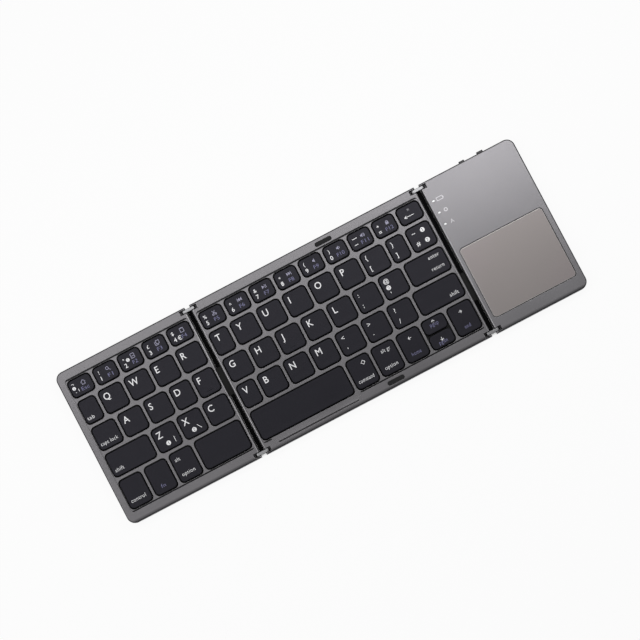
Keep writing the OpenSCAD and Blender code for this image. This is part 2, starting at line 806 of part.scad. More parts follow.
// One hinge: two links, the bar that joins them, four pins and the ribbon cable
module hinge_links(axis_x) {
    color(link_silver)
        for (y = [at_depth(link_inset + link_thick), y_front + link_inset])
            translate([axis_x, y, pivot_z])
                difference() {
                    intersection() {
                        translate([0, link_thick, 0]) rotate([90, 0, 0])
                            linear_extrude(link_thick) slot(link_length, 2 * link_r);
                        translate([0, link_thick / 2, -link_r - cut])
                            linear_extrude(2 * link_r + 2 * cut)
                                slot(link_length, link_thick);
                    }
                    for (side = [-1, 1])
                        translate([side * pivot_offset, -cut, 0]) rotate([-90, 0, 0])
                            cylinder(d = pin_d + 2 * eye_fit, h = link_thick + 2 * cut);
                }
}
module spine(axis_x) {
    color(spine_black)
        translate([axis_x - spine_width / 2, y_front + link_inset, spine_lift])
            translate([0, case_depth - 2 * link_inset, 0]) rotate([90, 0, 0])
                linear_extrude(case_depth - 2 * link_inset)
                    translate([0, pivot_z - link_r - spine_lift]) mirror([0, 1])
                        eased_bar(spine_width, pivot_z - link_r - spine_lift, spine_edge_r);
}
module hinge_pins(axis_x) {
    color(steel)
        for (end = [0, 1])
            for (side = [-1, 1])
                translate([axis_x + side * pivot_offset,
                           bore_start(end) + (end == 0 ? -pin_end_play : pin_end_play), pivot_z])
                    rotate([end == 0 ? 90 : -90, 0, 0])
                        cylinder(d = pin_d, h = pin_length - pin_end_play);
}
// Flat cable across a hinge. Each end turns down onto what it plugs into.
module ribbon(axis_x, ribbon_at, left_reach, right_reach, left_low, right_low) {
    color(film_black)
        translate([axis_x, at_depth(ribbon_at) + ribbon_width / 2, 0]) rotate([90, 0, 0])
            linear_extrude(ribbon_width) {
                translate([-left_reach, ribbon_z])
                    square([left_reach + right_reach, ribbon_thick]);
                translate([-left_reach, left_low])
                    square([ribbon_thick, ribbon_z - left_low + ribbon_thick / 2]);
                translate([right_reach - ribbon_thick, right_low])
                    square([ribbon_thick, ribbon_z - right_low + ribbon_thick / 2]);
            }
}
module left_hinge_links() { hinge_links(left_axis_x); }
module left_spine() { spine(left_axis_x); }
module left_hinge_pins() { hinge_pins(left_axis_x); }
module left_ribbon() {
    ribbon(left_axis_x, left_ribbon_at, ribbon_reach, ribbon_reach, sheet_z, sheet_z);
}
module right_hinge_links() { hinge_links(right_axis_x); }
module right_spine() { spine(right_axis_x); }
module right_hinge_pins() { hinge_pins(right_axis_x); }
module right_ribbon() {
    ribbon(right_axis_x, right_ribbon_at, ribbon_reach, ribbon_reach_touch, sheet_z,
           board_top_z);
}

// Touch panel: its inner outline leaves solid blocks round the hinge pockets
module touch_room() {
    difference() {
        round_rect(touch_hinge_edge + touch_wall, y_front + touch_wall,
                   touch_width - 2 * touch_wall, case_depth - 2 * touch_wall,
                   corner_r - touch_wall);
        for (y = [at_depth(hinge_block_depth), y_front - cut])
            translate([touch_hinge_edge, y])
                square([hinge_block_width, hinge_block_depth + cut]);
    }
}
module touch_posts(low, height) {
    for (i = [2, 3])
        translate([touch_screw_places[i][0], touch_screw_places[i][1], low])
            cylinder(d = post_d, h = height);
}
module touchpad_outline(gap) {
    round_rect(pad_x - gap, y_front + pad_front - gap, pad_width + 2 * gap,
               pad_depth + 2 * gap, pad_corner_r + gap);
}
module lamp_places() {
    for (i = [0 : 2])
        translate([touch_hinge_edge + lamp_inset, at_depth(lamp_first + i * lamp_pitch), 0])
            children();
}
// Opening in the rear wall, drawn about its middle at the given height
module rear_slot(x, z, width, height) {
    translate([x, y_rear + cut, z]) rotate([90, 0, 0])
        linear_extrude(touch_wall + 2 * cut) slot(width, height);
}
module touch_top_cover() {
    color(case_grey)
        difference() {
            union() {
                difference() {
                    upper_half(touch_hinge_edge, touch_width, "right");
                    translate([0, 0, part_z - cut]) linear_extrude(skin_z - part_z + cut)
                        touch_room();
                }
                touch_posts(part_z, skin_z - part_z + root);
            }
            translate([0, 0, skin_z - cut]) linear_extrude(skin_thick + 2 * cut)
                touchpad_outline(pad_groove);
            hinge_cuts(right_axis_x);
            ribbon_cut(right_axis_x, right_ribbon_at, ribbon_reach_touch + cut);
            screw_holes(touch_screw_places);
            lamp_places() translate([0, 0, skin_z - cut]) linear_extrude(skin_thick + 2 * cut)
                slot(lamp_width + 2 * lamp_gap, lamp_depth + 2 * lamp_gap);
            rear_slot(slider_x + slider_travel / 2, control_z + control_height / 2,
                      slider_width + slider_travel + 2 * control_gap,
                      control_height + 2 * control_gap);
            rear_slot(button_x, control_z + control_height / 2,
                      button_width + 2 * control_gap, control_height + 2 * control_gap);
            rear_slot(socket_x, board_top_z + socket_height / 2,
                      socket_width + 2 * control_gap, socket_height + 2 * control_gap);
        }
}
module touch_bottom_cover() {
    color(cover_grey)
        difference() {
            union() {
                difference() {
                    lower_half(touch_hinge_edge, touch_width, "right");
                    translate([0, 0, floor_z]) linear_extrude(cover_height) touch_room();
                }
                touch_posts(floor_z - root, part_z - floor_z + root);
                board_posts();
            }
            screw_clearance(touch_screw_places);
            foot_seats(touch_hinge_edge, touch_width);
            hinge_cuts(right_axis_x);
        }
}
// Main board: a wide part behind the touchpad, which goes on under the lamps, and a strip
// beside the battery that reaches the ribbon cable
board_room = 0.6;
board_lap_in = 1;                   // how far the board's rectangles run into each other
board_x = touch_hinge_edge + hinge_block_width + board_room;
board_right = right_end - post_inset - post_d / 2 - board_room;
board_rear = touch_wall + board_room;
board_front = 37;
lamp_part_rear = hinge_block_depth + board_room;
strip_x = touch_hinge_edge + touch_wall + board_room;
strip_front = right_ribbon_at + ribbon_width / 2 + board_lap_in;
board_post_d = 3;
battery_x = pad_x + (pad_width - battery_width) / 2;
module board_outline() {
    translate([board_x, at_depth(board_front)])
        square([board_right - board_x, board_front - board_rear]);
    translate([strip_x, at_depth(board_front)])
        square([board_x - strip_x + board_lap_in, board_front - lamp_part_rear]);
    translate([strip_x, at_depth(strip_front)])
        square([battery_x - board_room - strip_x, strip_front - board_front + board_lap_in]);
}
module board_posts() {
    for (x = [board_x + board_post_d, board_right - board_post_d])
        for (y = [at_depth(board_rear + socket_length + 1), at_depth(board_front - board_post_d)])
            translate([x, y, floor_z - root]) cylinder(d = board_post_d, h = board_lift + root);
}
// Chips on the main board, each as its middle's distance from the hinge edge and from the
// rear edge, then its size
controller = [27, 21, 7, 7, 0.9];
radio = [40, 19, 5, 5, 0.8];
clock = [40, 28, 3.2, 2.5, 0.7];
charger = [18, 28, 4, 3, 1];
connector = [30, 33, 9, 2.6, 1];
// A part soldered on the main board, given by its middle and its size
module soldered(x, y, size) {
    translate([x - size[0] / 2, y - size[1] / 2, board_top_z]) cube(size);
}
module main_board() {
    switch_middle = touch_wall + flange_thick + 2 * flange_gap + switch_depth / 2;
    color(board_green)
        translate([0, 0, board_z]) linear_extrude(board_thick) board_outline();
    color(chip_black)
        for (chip = [controller, radio, clock, charger, connector])
            soldered(touch_hinge_edge + chip[0], at_depth(chip[1]), [chip[2], chip[3], chip[4]]);
    color(steel) {
        soldered(slider_x + slider_travel / 2, at_depth(switch_middle),
                 [slider_width + 3 * slider_travel, switch_depth, switch_height]);
        soldered(button_x, at_depth(switch_middle + button_travel),
                 [button_width, switch_depth, switch_height]);
    }
    color("white")
        lamp_places() translate([0, 0, board_top_z])
            linear_extrude(lamp_height) square([lamp_width, lamp_depth], center = true);
}
module indicator_lenses() {
    low = board_top_z + lamp_height + lamp_light_gap;
    color(lens_white)
        lamp_places() translate([0, 0, low])
            linear_extrude(rim_z + lens_proud - low) slot(lamp_width, lamp_depth);
}
module touchpad() {
    color(pad_grey)
        translate([0, 0, skin_z]) linear_extrude(skin_thick - pad_sink) touchpad_outline(0);
}
module touchpad_board() {
    color(board_green)
        translate([0, 0, skin_z - board_thick]) linear_extrude(board_thick)
            round_rect(pad_x - board_lap, y_front + pad_front - board_lap,
                       pad_width + 2 * board_lap, pad_depth + 2 * board_lap, board_lap);
}
module battery() {
    color(foil_grey)
        translate([0, 0, floor_z]) linear_extrude(battery_thick)
            round_rect(battery_x, y_front + pad_front + (pad_depth - battery_depth) / 2,
                       battery_width, battery_depth, battery_corner_r);
}
// Metal shell, open to the rear, with a tongue inside
module charging_socket() {
    wall = 0.3;
    back = 1;
    tongue = [6.4, socket_length - 2 * back, 0.7];
    middle = board_top_z + socket_height / 2;
    front = y_rear - socket_sink;
    color(link_silver)
        translate([socket_x, front, middle]) rotate([90, 0, 0])
            difference() {
                linear_extrude(socket_length) slot(socket_width, socket_height);
                translate([0, 0, -cut]) linear_extrude(socket_length + cut - back)
                    slot(socket_width - 2 * wall, socket_height - 2 * wall);
            }
    color(rubber_black)
        translate([socket_x - tongue[0] / 2, front - socket_length + back,
                   middle - tongue[2] / 2])
            cube(tongue);
}
// Knob or button: the part that stands out, and the flange that keeps it inside
module rear_control(x, width, out, flange_side) {
    flange_y = touch_wall + flange_gap;
    translate([x, y_rear + out, control_z + control_height / 2]) rotate([90, 0, 0])
        linear_extrude(out + flange_y + flange_thick / 2) slot(width, control_height);
    translate([x - width / 2 - flange_side, y_rear - flange_y - flange_thick,
               control_z - flange_rise])
        cube([width + 2 * flange_side, flange_thick, control_height + 2 * flange_rise]);
}
module power_slider() {
    color(rubber_black)
        rear_control(slider_x, slider_width, slider_out, slider_travel + flange_rise);
}
module pairing_button() {
    color(rubber_black)
        rear_control(button_x, button_width, button_out, flange_rise);
}
module touch_screws() { color(steel) screws(touch_screw_places); }
module touch_feet() { color(rubber_black) feet(touch_hinge_edge, touch_width); }

// One keycap, hollow below, in the given hole
module keycap(h) {
    outer_r = hole_corner_r - cap_gap;
    side = cap_gap + cap_wall;
    color(key_black)
        difference() {
            translate([0, 0, cap_low_z]) linear_extrude(cap_height)
                round_rect(h[0] + cap_gap, h[1] + cap_gap, h[2] - 2 * cap_gap,
                           h[3] - 2 * cap_gap, outer_r);
            translate([0, 0, cap_low_z - cut]) linear_extrude(cap_roof_z - cap_low_z + cut)
                round_rect(h[0] + side, h[1] + side, h[2] - 2 * side, h[3] - 2 * side, cap_inner_r);
        }
}
module left_caps(row, first, last) {
    for (i = [first : last]) keycap(left_hole(row, i));
}
module middle_caps(row, first, last) {
    for (i = [first : last]) keycap(middle_hole(row, i));
}
module left_number_keys() { left_caps(number_row, 0, 4); }
module tab_key() { left_caps(upper_row, 0, 0); }
module left_upper_keys() { left_caps(upper_row, 1, 4); }
module caps_lock_key() { left_caps(home_row, 0, 0); }
module left_home_keys() { left_caps(home_row, 1, 4); }
module left_shift_key() { left_caps(lower_row, 0, 0); }
module left_lower_keys() { left_caps(lower_row, 1, 3); }
module control_key() { left_caps(space_row, 0, 0); }
module fn_key() { left_caps(space_row, 1, 1); }
module left_alt_key() { left_caps(space_row, 2, 2); }
module left_space_key() { left_caps(space_row, 3, 3); }
module middle_number_keys() { middle_caps(number_row, 0, 7); }
module backspace_key() { middle_caps(number_row, 8, 8); }
module middle_upper_keys() { middle_caps(upper_row, 0, 8); }
module middle_home_keys() { middle_caps(home_row, 0, 6); }
module enter_key() { middle_caps(home_row, 7, 7); }
module middle_lower_keys() { middle_caps(lower_row, 0, 6); }
module right_shift_key() { middle_caps(lower_row, 7, 7); }
module space_key() { middle_caps(space_row, 0, 0); }
module system_key() { middle_caps(space_row, 1, 1); }
module right_alt_key() { middle_caps(space_row, 2, 2); }
module arrow_left_key() { middle_caps(space_row, 3, 3); }
module arrow_up_key() { keycap(rear_half(middle_hole(space_row, up_down_key))); }
module arrow_down_key() { keycap(front_half(middle_hole(space_row, up_down_key))); }
module arrow_right_key() { middle_caps(space_row, 5, 5); }

left_top_frame();
left_bottom_cover();
left_key_plate();
left_domes();
left_scissors();
left_screws();
left_feet();
middle_top_frame();
middle_bottom_cover();
middle_key_plate();
middle_domes();
middle_scissors();
middle_screws();
middle_feet();
fold_bumpers();
touch_top_cover();
touch_bottom_cover();
touchpad();
touchpad_board();
battery();
main_board();
charging_socket();
power_slider();
pairing_button();
indicator_lenses();
touch_screws();
touch_feet();
left_hinge_links();
left_spine();
left_hinge_pins();
left_ribbon();
right_hinge_links();
right_spine();
right_hinge_pins();
right_ribbon();
left_number_keys();
tab_key();
left_upper_keys();
caps_lock_key();
left_home_keys();
left_shift_key();
left_lower_keys();
control_key();
fn_key();
left_alt_key();
left_space_key();
middle_number_keys();
backspace_key();
middle_upper_keys();
middle_home_keys();
enter_key();
middle_lower_keys();
right_shift_key();
space_key();
system_key();
right_alt_key();
arrow_left_key();
arrow_up_key();
arrow_down_key();
arrow_right_key();
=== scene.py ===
# Folding keyboard with a touchpad: finishes, printed keys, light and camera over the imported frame
import bpy
import bmesh
import json
import math
from mathutils import Matrix, Vector
from mathutils.bvhtree import BVHTree

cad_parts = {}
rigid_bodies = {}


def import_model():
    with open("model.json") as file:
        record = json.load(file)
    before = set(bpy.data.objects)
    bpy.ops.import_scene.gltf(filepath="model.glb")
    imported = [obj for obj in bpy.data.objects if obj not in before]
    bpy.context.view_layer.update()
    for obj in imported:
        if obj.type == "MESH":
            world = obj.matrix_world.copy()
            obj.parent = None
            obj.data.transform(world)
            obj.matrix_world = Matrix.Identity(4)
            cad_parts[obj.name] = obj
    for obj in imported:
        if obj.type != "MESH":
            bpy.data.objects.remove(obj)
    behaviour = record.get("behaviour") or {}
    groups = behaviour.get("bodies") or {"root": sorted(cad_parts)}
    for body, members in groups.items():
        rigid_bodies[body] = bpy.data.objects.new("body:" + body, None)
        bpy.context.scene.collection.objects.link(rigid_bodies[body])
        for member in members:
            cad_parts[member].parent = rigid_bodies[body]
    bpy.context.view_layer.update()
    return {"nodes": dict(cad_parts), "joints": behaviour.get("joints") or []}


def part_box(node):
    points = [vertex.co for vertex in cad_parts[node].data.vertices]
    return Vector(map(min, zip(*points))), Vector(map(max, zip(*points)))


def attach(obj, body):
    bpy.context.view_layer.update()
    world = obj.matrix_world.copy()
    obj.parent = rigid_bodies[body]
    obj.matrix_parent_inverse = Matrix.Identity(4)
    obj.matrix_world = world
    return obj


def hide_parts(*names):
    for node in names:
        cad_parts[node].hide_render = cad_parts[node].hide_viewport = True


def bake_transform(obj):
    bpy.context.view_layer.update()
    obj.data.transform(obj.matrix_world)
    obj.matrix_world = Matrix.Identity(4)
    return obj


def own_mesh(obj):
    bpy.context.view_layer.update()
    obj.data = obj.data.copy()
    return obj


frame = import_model()
print("frame loaded")

mm = 0.001  # shapes are drawn in millimetres, the scene is in metres


# Finishes

def addNode(tree, kind, **settings):
    node = tree.nodes.new(kind)
    for key, value in settings.items():
        setattr(node, key, value)
    return node


def noiseNode(tree, vector, perMm, detail=2.0, roughness=0.5):
    node = addNode(tree, "ShaderNodeTexNoise")
    node.inputs["Scale"].default_value = perMm / mm
    node.inputs["Detail"].default_value = detail
    node.inputs["Roughness"].default_value = roughness
    tree.links.new(vector, node.inputs["Vector"])
    return node.outputs["Fac"]


def rampNode(tree, value, stops):
    node = addNode(tree, "ShaderNodeValToRGB")
    ramp = node.color_ramp
    while len(ramp.elements) < len(stops):
        ramp.elements.new(0.5)
    for element, (place, colour) in zip(ramp.elements, stops):
        element.position = place
        element.color = (*colour, 1)
    tree.links.new(value, node.inputs["Fac"])
    return node.outputs["Color"]


def mixNode(tree, value, first, second):
    node = addNode(tree, "ShaderNodeMix", data_type="RGBA")
    tree.links.new(value, node.inputs[0])
    for socket, colour in ((node.inputs[6], first), (node.inputs[7], second)):
        if isinstance(colour, tuple):
            socket.default_value = (*colour, 1)
        else:
            tree.links.new(colour, socket)
    return node.outputs[2]


def rangeNode(tree, value, low, high, fromLow=0.3, fromHigh=0.7):
    node = addNode(tree, "ShaderNodeMapRange")
    for key, edge in (("From Min", fromLow), ("From Max", fromHigh), ("To Min", low), ("To Max", high)):
        node.inputs[key].default_value = edge
    tree.links.new(value, node.inputs["Value"])
    return node.outputs["Result"]


def mathNode(tree, operation, first, second):
    node = addNode(tree, "ShaderNodeMath", operation=operation)
    for socket, value in zip(node.inputs, (first, second)):
        if isinstance(value, float):
            socket.default_value = value
        else:
            tree.links.new(value, socket)
    return node.outputs[0]


# Paints shade on the deck beyond the outermost keys, where the tray walls cast their shadow, but not in
# the thumb notch
def shadeStrips(tree, place, tone, shade):
    parts = addNode(tree, "ShaderNodeSeparateXYZ")
    tree.links.new(place, parts.inputs[0])
    x, y, z = parts.outputs
    soft = shade["soft"] * mm
    rear, front, top = (shade[key] * mm for key in ("rear", "front", "top"))
    notch = [edge * mm for edge in shade["notch"]]
    atRear = rangeNode(tree, y, 0.0, 1.0, rear, rear + soft)
    atFront = rangeNode(tree, y, 1.0, 0.0, front - soft, front)
    aside = mathNode(tree, "MAXIMUM", rangeNode(tree, x, 1.0, 0.0, notch[0] - soft, notch[0]),
                     rangeNode(tree, x, 0.0, 1.0, notch[1], notch[1] + soft))
    beyond = mathNode(tree, "MAXIMUM", atRear, mathNode(tree, "MULTIPLY", atFront, aside))
    low = rangeNode(tree, z, 1.0, 0.0, top, top + soft)
    return mixNode(tree, mathNode(tree, "MULTIPLY", beyond, low), tone, shade["colour"])


# A finish has two close tones in soft patches, fine flecks, a roughness that wanders and a grain
def makeFinish(name, look):
    material = bpy.data.materials.new(name)
    material.use_nodes = True
    tree = material.node_tree
    shader = tree.nodes["Principled BSDF"]
    place = addNode(tree, "ShaderNodeTexCoord").outputs["Object"]
    turned = addNode(tree, "ShaderNodeMapping")
    turned.inputs["Scale"].default_value = look.get("stretch", (1, 1, 1))
    tree.links.new(place, turned.inputs["Vector"])
    place = turned.outputs["Vector"]
    patches = noiseNode(tree, place, look["patch"], 3.0)
    tone = rampNode(tree, patches, ((0.35, look["colour"]), (0.65, look["second"])))
    grain = noiseNode(tree, place, look["grain"], 3.0, 0.6)
    if "fleck" in look:
        flecks = rangeNode(tree, grain, 0.0, look["fleckShare"], 0.55, 0.75)
        tone = mixNode(tree, flecks, tone, look["fleck"])
    if "shade" in look:
        tone = shadeStrips(tree, place, tone, look["shade"])
    # painted shade: the front edge is painted darker, as a rounded front rim turning from the light
    if "frontShade" in look:  # darker towards the front edge
        parts = addNode(tree, "ShaderNodeSeparateXYZ")
        tree.links.new(place, parts.inputs[0])
        share = rangeNode(tree, parts.outputs["Y"], 1.0, 0.0, *(edge * mm for edge in look["frontShade"]))
        tone = mixNode(tree, share, tone, look["frontShadeColour"])
    tree.links.new(tone, shader.inputs["Base Color"])
    tree.links.new(rangeNode(tree, patches, *look["roughness"]), shader.inputs["Roughness"])
    bump = addNode(tree, "ShaderNodeBump")
    bump.inputs["Strength"].default_value = look["grainStrength"]
    bump.inputs["Distance"].default_value = look["grainHeight"] * mm
    tree.links.new(grain, bump.inputs["Height"])
    tree.links.new(bump.outputs["Normal"], shader.inputs["Normal"])
    shader.inputs["Metallic"].default_value = look.get("metallic", 0.0)
    shader.inputs["Specular IOR Level"].default_value = look.get("specular", 0.5)
    shader.inputs["Specular Tint"].default_value = (*look.get("tint", (1.0, 1.0, 1.0)), 1.0)
    shader.inputs["Coat Weight"].default_value = look.get("coat", 0.0)
    shader.inputs["Coat Roughness"].default_value = look.get("coatRoughness", 0.1)
    return material


keyGap = 0.6  # from the hole in the deck to the cap
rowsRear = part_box("left_number_keys")[1][1] / mm + keyGap
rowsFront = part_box("space_key")[0][1] / mm - keyGap
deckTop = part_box("left_top_frame")[1][2] / mm - 1  # the deck lies this much below the rim
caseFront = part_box("left_top_frame")[0][1] / mm
inkGrain = {"patch": 0.9, "grain": 9.0, "grainStrength": 0.15, "grainHeight": 0.01}
finishes = {
    "deck": {"colour": (0.158, 0.153, 0.161), "second": (0.172, 0.167, 0.175), "patch": 0.02,
             "roughness": (0.3, 0.35), "grain": 7.0, "grainStrength": 0.35, "grainHeight": 0.02,
             "metallic": 0.85, "fleck": (0.25, 0.245, 0.255), "fleckShare": 0.35,
             # painted shade: the deck strips along the tray walls lie dark, as if in the walls' shadow
             "shade": {"rear": rowsRear, "front": rowsFront, "top": deckTop, "soft": 0.15,
                       "notch": (-55.35, 3.65), "colour": (0.012, 0.012, 0.013)},
             # painted shade towards the front edge
             "frontShade": (caseFront + 0.5, caseFront + 2.3), "frontShadeColour": (0.035, 0.034, 0.037)},
    # painted shade on the outer sides and rounded outer edges of the shells
    "caseSideShade": {"colour": (0.05, 0.049, 0.053), "second": (0.06, 0.059, 0.063), "patch": 0.05,
                 "roughness": (0.34, 0.42), "grain": 6.0, "grainStrength": 0.3, "grainHeight": 0.02,
                 "metallic": 0.6},
    # painted highlight on the rounded edges beside the hinges
    "hingeGlint": {"colour": (0.38, 0.372, 0.388), "second": (0.43, 0.422, 0.438), "patch": 0.1,
                  "roughness": (0.36, 0.42), "grain": 6.0, "grainStrength": 0.2, "grainHeight": 0.015,
                  "metallic": 0.7},
    "panel": {"colour": (0.186, 0.181, 0.19), "second": (0.202, 0.197, 0.206), "patch": 0.02,
              "roughness": (0.3, 0.35), "grain": 7.0, "grainStrength": 0.35, "grainHeight": 0.02,
              "metallic": 0.85, "fleck": (0.3, 0.29, 0.305), "fleckShare": 0.35,
              # painted shade towards the front edge
              "frontShade": (caseFront + 0.5, caseFront + 2.3), "frontShadeColour": (0.04, 0.039, 0.042)},
    # painted highlight on the eased edges of the case
    "caseEdgeGlint": {"colour": (0.24, 0.234, 0.243), "second": (0.28, 0.274, 0.284), "patch": 0.12,
                 "roughness": (0.26, 0.34), "grain": 5.0, "grainStrength": 0.2, "grainHeight": 0.015,
                 "metallic": 0.8},
    "cover": {"colour": (0.125, 0.122, 0.13), "second": (0.14, 0.137, 0.145), "patch": 0.03,
              "roughness": (0.4, 0.48), "grain": 6.0, "grainStrength": 0.4, "grainHeight": 0.025,
              "metallic": 0.6, "fleck": (0.22, 0.21, 0.23), "fleckShare": 0.3},
    # painted highlight on the eased edges of the bottom covers
    "coverEdge": {"colour": (0.2, 0.195, 0.205), "second": (0.24, 0.235, 0.245), "patch": 0.12,
                  "roughness": (0.3, 0.4), "grain": 5.0, "grainStrength": 0.2, "grainHeight": 0.015,
                  "metallic": 0.7},
    "key": {"colour": (0.0038, 0.0036, 0.006), "second": (0.0048, 0.0046, 0.0074), "patch": 0.05,
            "roughness": (0.36, 0.42), "grain": 5.5, "grainStrength": 0.3, "grainHeight": 0.025,
            "specular": 0.3, "tint": (0.88, 0.86, 1.0)},
    # painted shade in the wells around the keys, the touchpad and the lamps, and on the caps' sides
    "wellShade": {"colour": (0.004, 0.004, 0.0045), "second": (0.006, 0.006, 0.0065), "patch": 0.1,
             "roughness": (0.75, 0.85), "grain": 4.0, "grainStrength": 0.3, "grainHeight": 0.02,
             "specular": 0.1},
    "whiteInk": {**inkGrain, "colour": (0.92, 0.92, 0.94), "second": (0.96, 0.96, 0.97),
                 "roughness": (0.36, 0.42), "metallic": 0.22},
    "iconInk": {**inkGrain, "colour": (0.4, 0.39, 0.53), "second": (0.45, 0.44, 0.58),
                "roughness": (0.45, 0.55)},
    "blueInk": {**inkGrain, "colour": (0.19, 0.185, 0.34), "second": (0.22, 0.215, 0.38),
                "roughness": (0.45, 0.55)},
    "greyInk": {**inkGrain, "colour": (0.3, 0.3, 0.32), "second": (0.34, 0.34, 0.36),
                "roughness": (0.45, 0.55)},
    "paleInk": {**inkGrain, "colour": (0.5, 0.49, 0.51), "second": (0.56, 0.55, 0.57),
                "roughness": (0.3, 0.36), "metallic": 0.6},
    "link": {"colour": (0.26, 0.26, 0.268), "second": (0.31, 0.31, 0.318), "patch": 0.3,
             "roughness": (0.28, 0.38), "grain": 3.0, "grainStrength": 0.25, "grainHeight": 0.01,
             "metallic": 1.0, "stretch": (0.15, 1, 1)},
    "plate": {"colour": (0.012, 0.012, 0.013), "second": (0.016, 0.016, 0.017), "patch": 0.2,
              "roughness": (0.5, 0.6), "grain": 4.0, "grainStrength": 0.2, "grainHeight": 0.01,
              "metallic": 0.3},
    "steel": {"colour": (0.42, 0.42, 0.43), "second": (0.5, 0.5, 0.51), "patch": 0.2,
              "roughness": (0.25, 0.38), "grain": 2.5, "grainStrength": 0.2, "grainHeight": 0.01,
              "metallic": 1.0, "stretch": (0.1, 1, 1)},
    "spine": {"colour": (0.0015, 0.0015, 0.0018), "second": (0.0024, 0.0024, 0.0028), "patch": 0.08,
              "roughness": (0.55, 0.65), "grain": 4.0, "grainStrength": 0.25, "grainHeight": 0.015,
              "specular": 0.05},
    "rubber": {"colour": (0.014, 0.014, 0.015), "second": (0.02, 0.02, 0.021), "patch": 0.15,
               "roughness": (0.7, 0.82), "grain": 3.0, "grainStrength": 0.5, "grainHeight": 0.04,
               "specular": 0.3},
    "pad": {"colour": (0.3, 0.262, 0.266), "second": (0.285, 0.258, 0.252), "patch": 0.012,
            "roughness": (0.3, 0.36), "grain": 10.0, "grainStrength": 0.15, "grainHeight": 0.006,
            "metallic": 0.45},
    # painted highlight on the touchpad's chamfer
    "padEdgeGlint": {"colour": (0.62, 0.6, 0.59), "second": (0.68, 0.66, 0.65), "patch": 0.1,
                "roughness": (0.2, 0.28), "grain": 8.0, "grainStrength": 0.1, "grainHeight": 0.005,
                "metallic": 0.6},
    "dome": {"colour": (0.02, 0.02, 0.021), "second": (0.028, 0.028, 0.029), "patch": 0.2,
             "roughness": (0.6, 0.7), "grain": 4.0, "grainStrength": 0.3, "grainHeight": 0.02},
    "scissor": {"colour": (0.03, 0.03, 0.032), "second": (0.04, 0.04, 0.042), "patch": 0.2,
                "roughness": (0.4, 0.5), "grain": 4.0, "grainStrength": 0.2, "grainHeight": 0.01},
    "control": {"colour": (0.016, 0.016, 0.018), "second": (0.022, 0.022, 0.024), "patch": 0.3,
                "roughness": (0.35, 0.45), "grain": 5.0, "grainStrength": 0.3, "grainHeight": 0.02},
    "lens": {"colour": (0.74, 0.74, 0.76), "second": (0.8, 0.8, 0.81), "patch": 0.5,
             "roughness": (0.28, 0.34), "grain": 4.0, "grainStrength": 0.1, "grainHeight": 0.01,
             "metallic": 0.6},
    "foil": {"colour": (0.5, 0.51, 0.53), "second": (0.62, 0.63, 0.65), "patch": 0.25,
             "roughness": (0.22, 0.4), "grain": 0.8, "grainStrength": 0.5, "grainHeight": 0.08,
             "metallic": 0.9},
    "socket": {"colour": (0.5, 0.5, 0.51), "second": (0.58, 0.58, 0.59), "patch": 0.3,
               "roughness": (0.2, 0.32), "grain": 4.0, "grainStrength": 0.2, "grainHeight": 0.01,
               "metallic": 1.0},
    "film": {"colour": (0.006, 0.006, 0.0055), "second": (0.008, 0.0075, 0.007), "patch": 0.2,
             "roughness": (0.45, 0.55), "grain": 2.0, "grainStrength": 0.2, "grainHeight": 0.01,
             "specular": 0.2, "stretch": (0.1, 1, 1)},
    "board": {"colour": (0.01, 0.09, 0.035), "second": (0.015, 0.12, 0.045), "patch": 0.3,
              "roughness": (0.3, 0.4), "grain": 1.5, "grainStrength": 0.2, "grainHeight": 0.02,
              "coat": 0.4, "fleck": (0.3, 0.25, 0.08), "fleckShare": 0.5},
}
paint = {name: makeFinish(name, look) for name, look in finishes.items()}
print("finishes made:", len(paint))


# Shared modelling helpers

def newPiece(name, bm, body, paints, nodes=()):
    bmesh.ops.scale(bm, verts=bm.verts, vec=(mm, mm, mm))
    mesh = bpy.data.meshes.new(name)
    bm.to_mesh(mesh)
    bm.free()
    for stale in ("custom_normal", "sharp_edge", "sharp_face"):
        if stale in mesh.attributes:
            mesh.attributes.remove(mesh.attributes[stale])
    for key in paints:
        mesh.materials.append(paint[key])
    piece = bpy.data.objects.new(name, mesh)
    bpy.context.collection.objects.link(piece)
    mesh.shade_smooth()
    mesh.set_sharp_from_angle(angle=math.radians(38))
    even = piece.modifiers.new("even", "WEIGHTED_NORMAL")
    even.keep_sharp = True
    if body:
        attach(piece, body)
    if nodes:
        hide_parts(*nodes)
    return piece


def nodeShape(node):  # a merged copy of a CAD node's mesh
    bm = bmesh.new()
    bm.from_mesh(frame["nodes"][node].data)
    bmesh.ops.scale(bm, verts=bm.verts, vec=(1 / mm, 1 / mm, 1 / mm))
    bmesh.ops.remove_doubles(bm, verts=bm.verts, dist=0.0005)
    for face in bm.faces:
        face.material_index = 0
    return bm


def nodeBox(node):
    return [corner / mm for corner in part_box(node)]


# Joins the triangles of each flat face. Faces with holes are first cut across them, at the given
# places along Y, so that no long thin face is left beside an edge that is rounded next.
def flatten(bm, cutsY=()):
    for y in cutsY:
        made = bmesh.ops.bisect_plane(bm, geom=allOf(bm), plane_co=(0, y, 0), plane_no=(0, 1, 0))
        for edge in edgesIn(made["geom_cut"]):
            edge.seam = True
    bmesh.ops.dissolve_limit(bm, angle_limit=math.radians(0.5), verts=bm.verts, edges=bm.edges,
                             delimit={"SEAM"})


def middlesY(nodes):  # where the solids of these nodes have their middles, along Y
    found = []
    for node in nodes:
        bm = nodeShape(node)
        for lo, hi in [boxOf(group) for group in islands(bm)]:
            y = (lo.y + hi.y) / 2
            if all(abs(y - other) > 0.6 for other in found):
                found.append(y)
        bm.free()
    return found


# The separate solids of a mesh, each as a list of vertices, in the same order on every run
def islands(bm):
    seen = set()
    found = []
    for start in bm.verts:
        if start in seen:
            continue
        seen.add(start)
        stack = [start]
        group = []
        while stack:
            vert = stack.pop()
            group.append(vert)
            for edge in vert.link_edges:
                other = edge.other_vert(vert)
                if other not in seen:
                    seen.add(other)
                    stack.append(other)
        found.append(group)
    return found


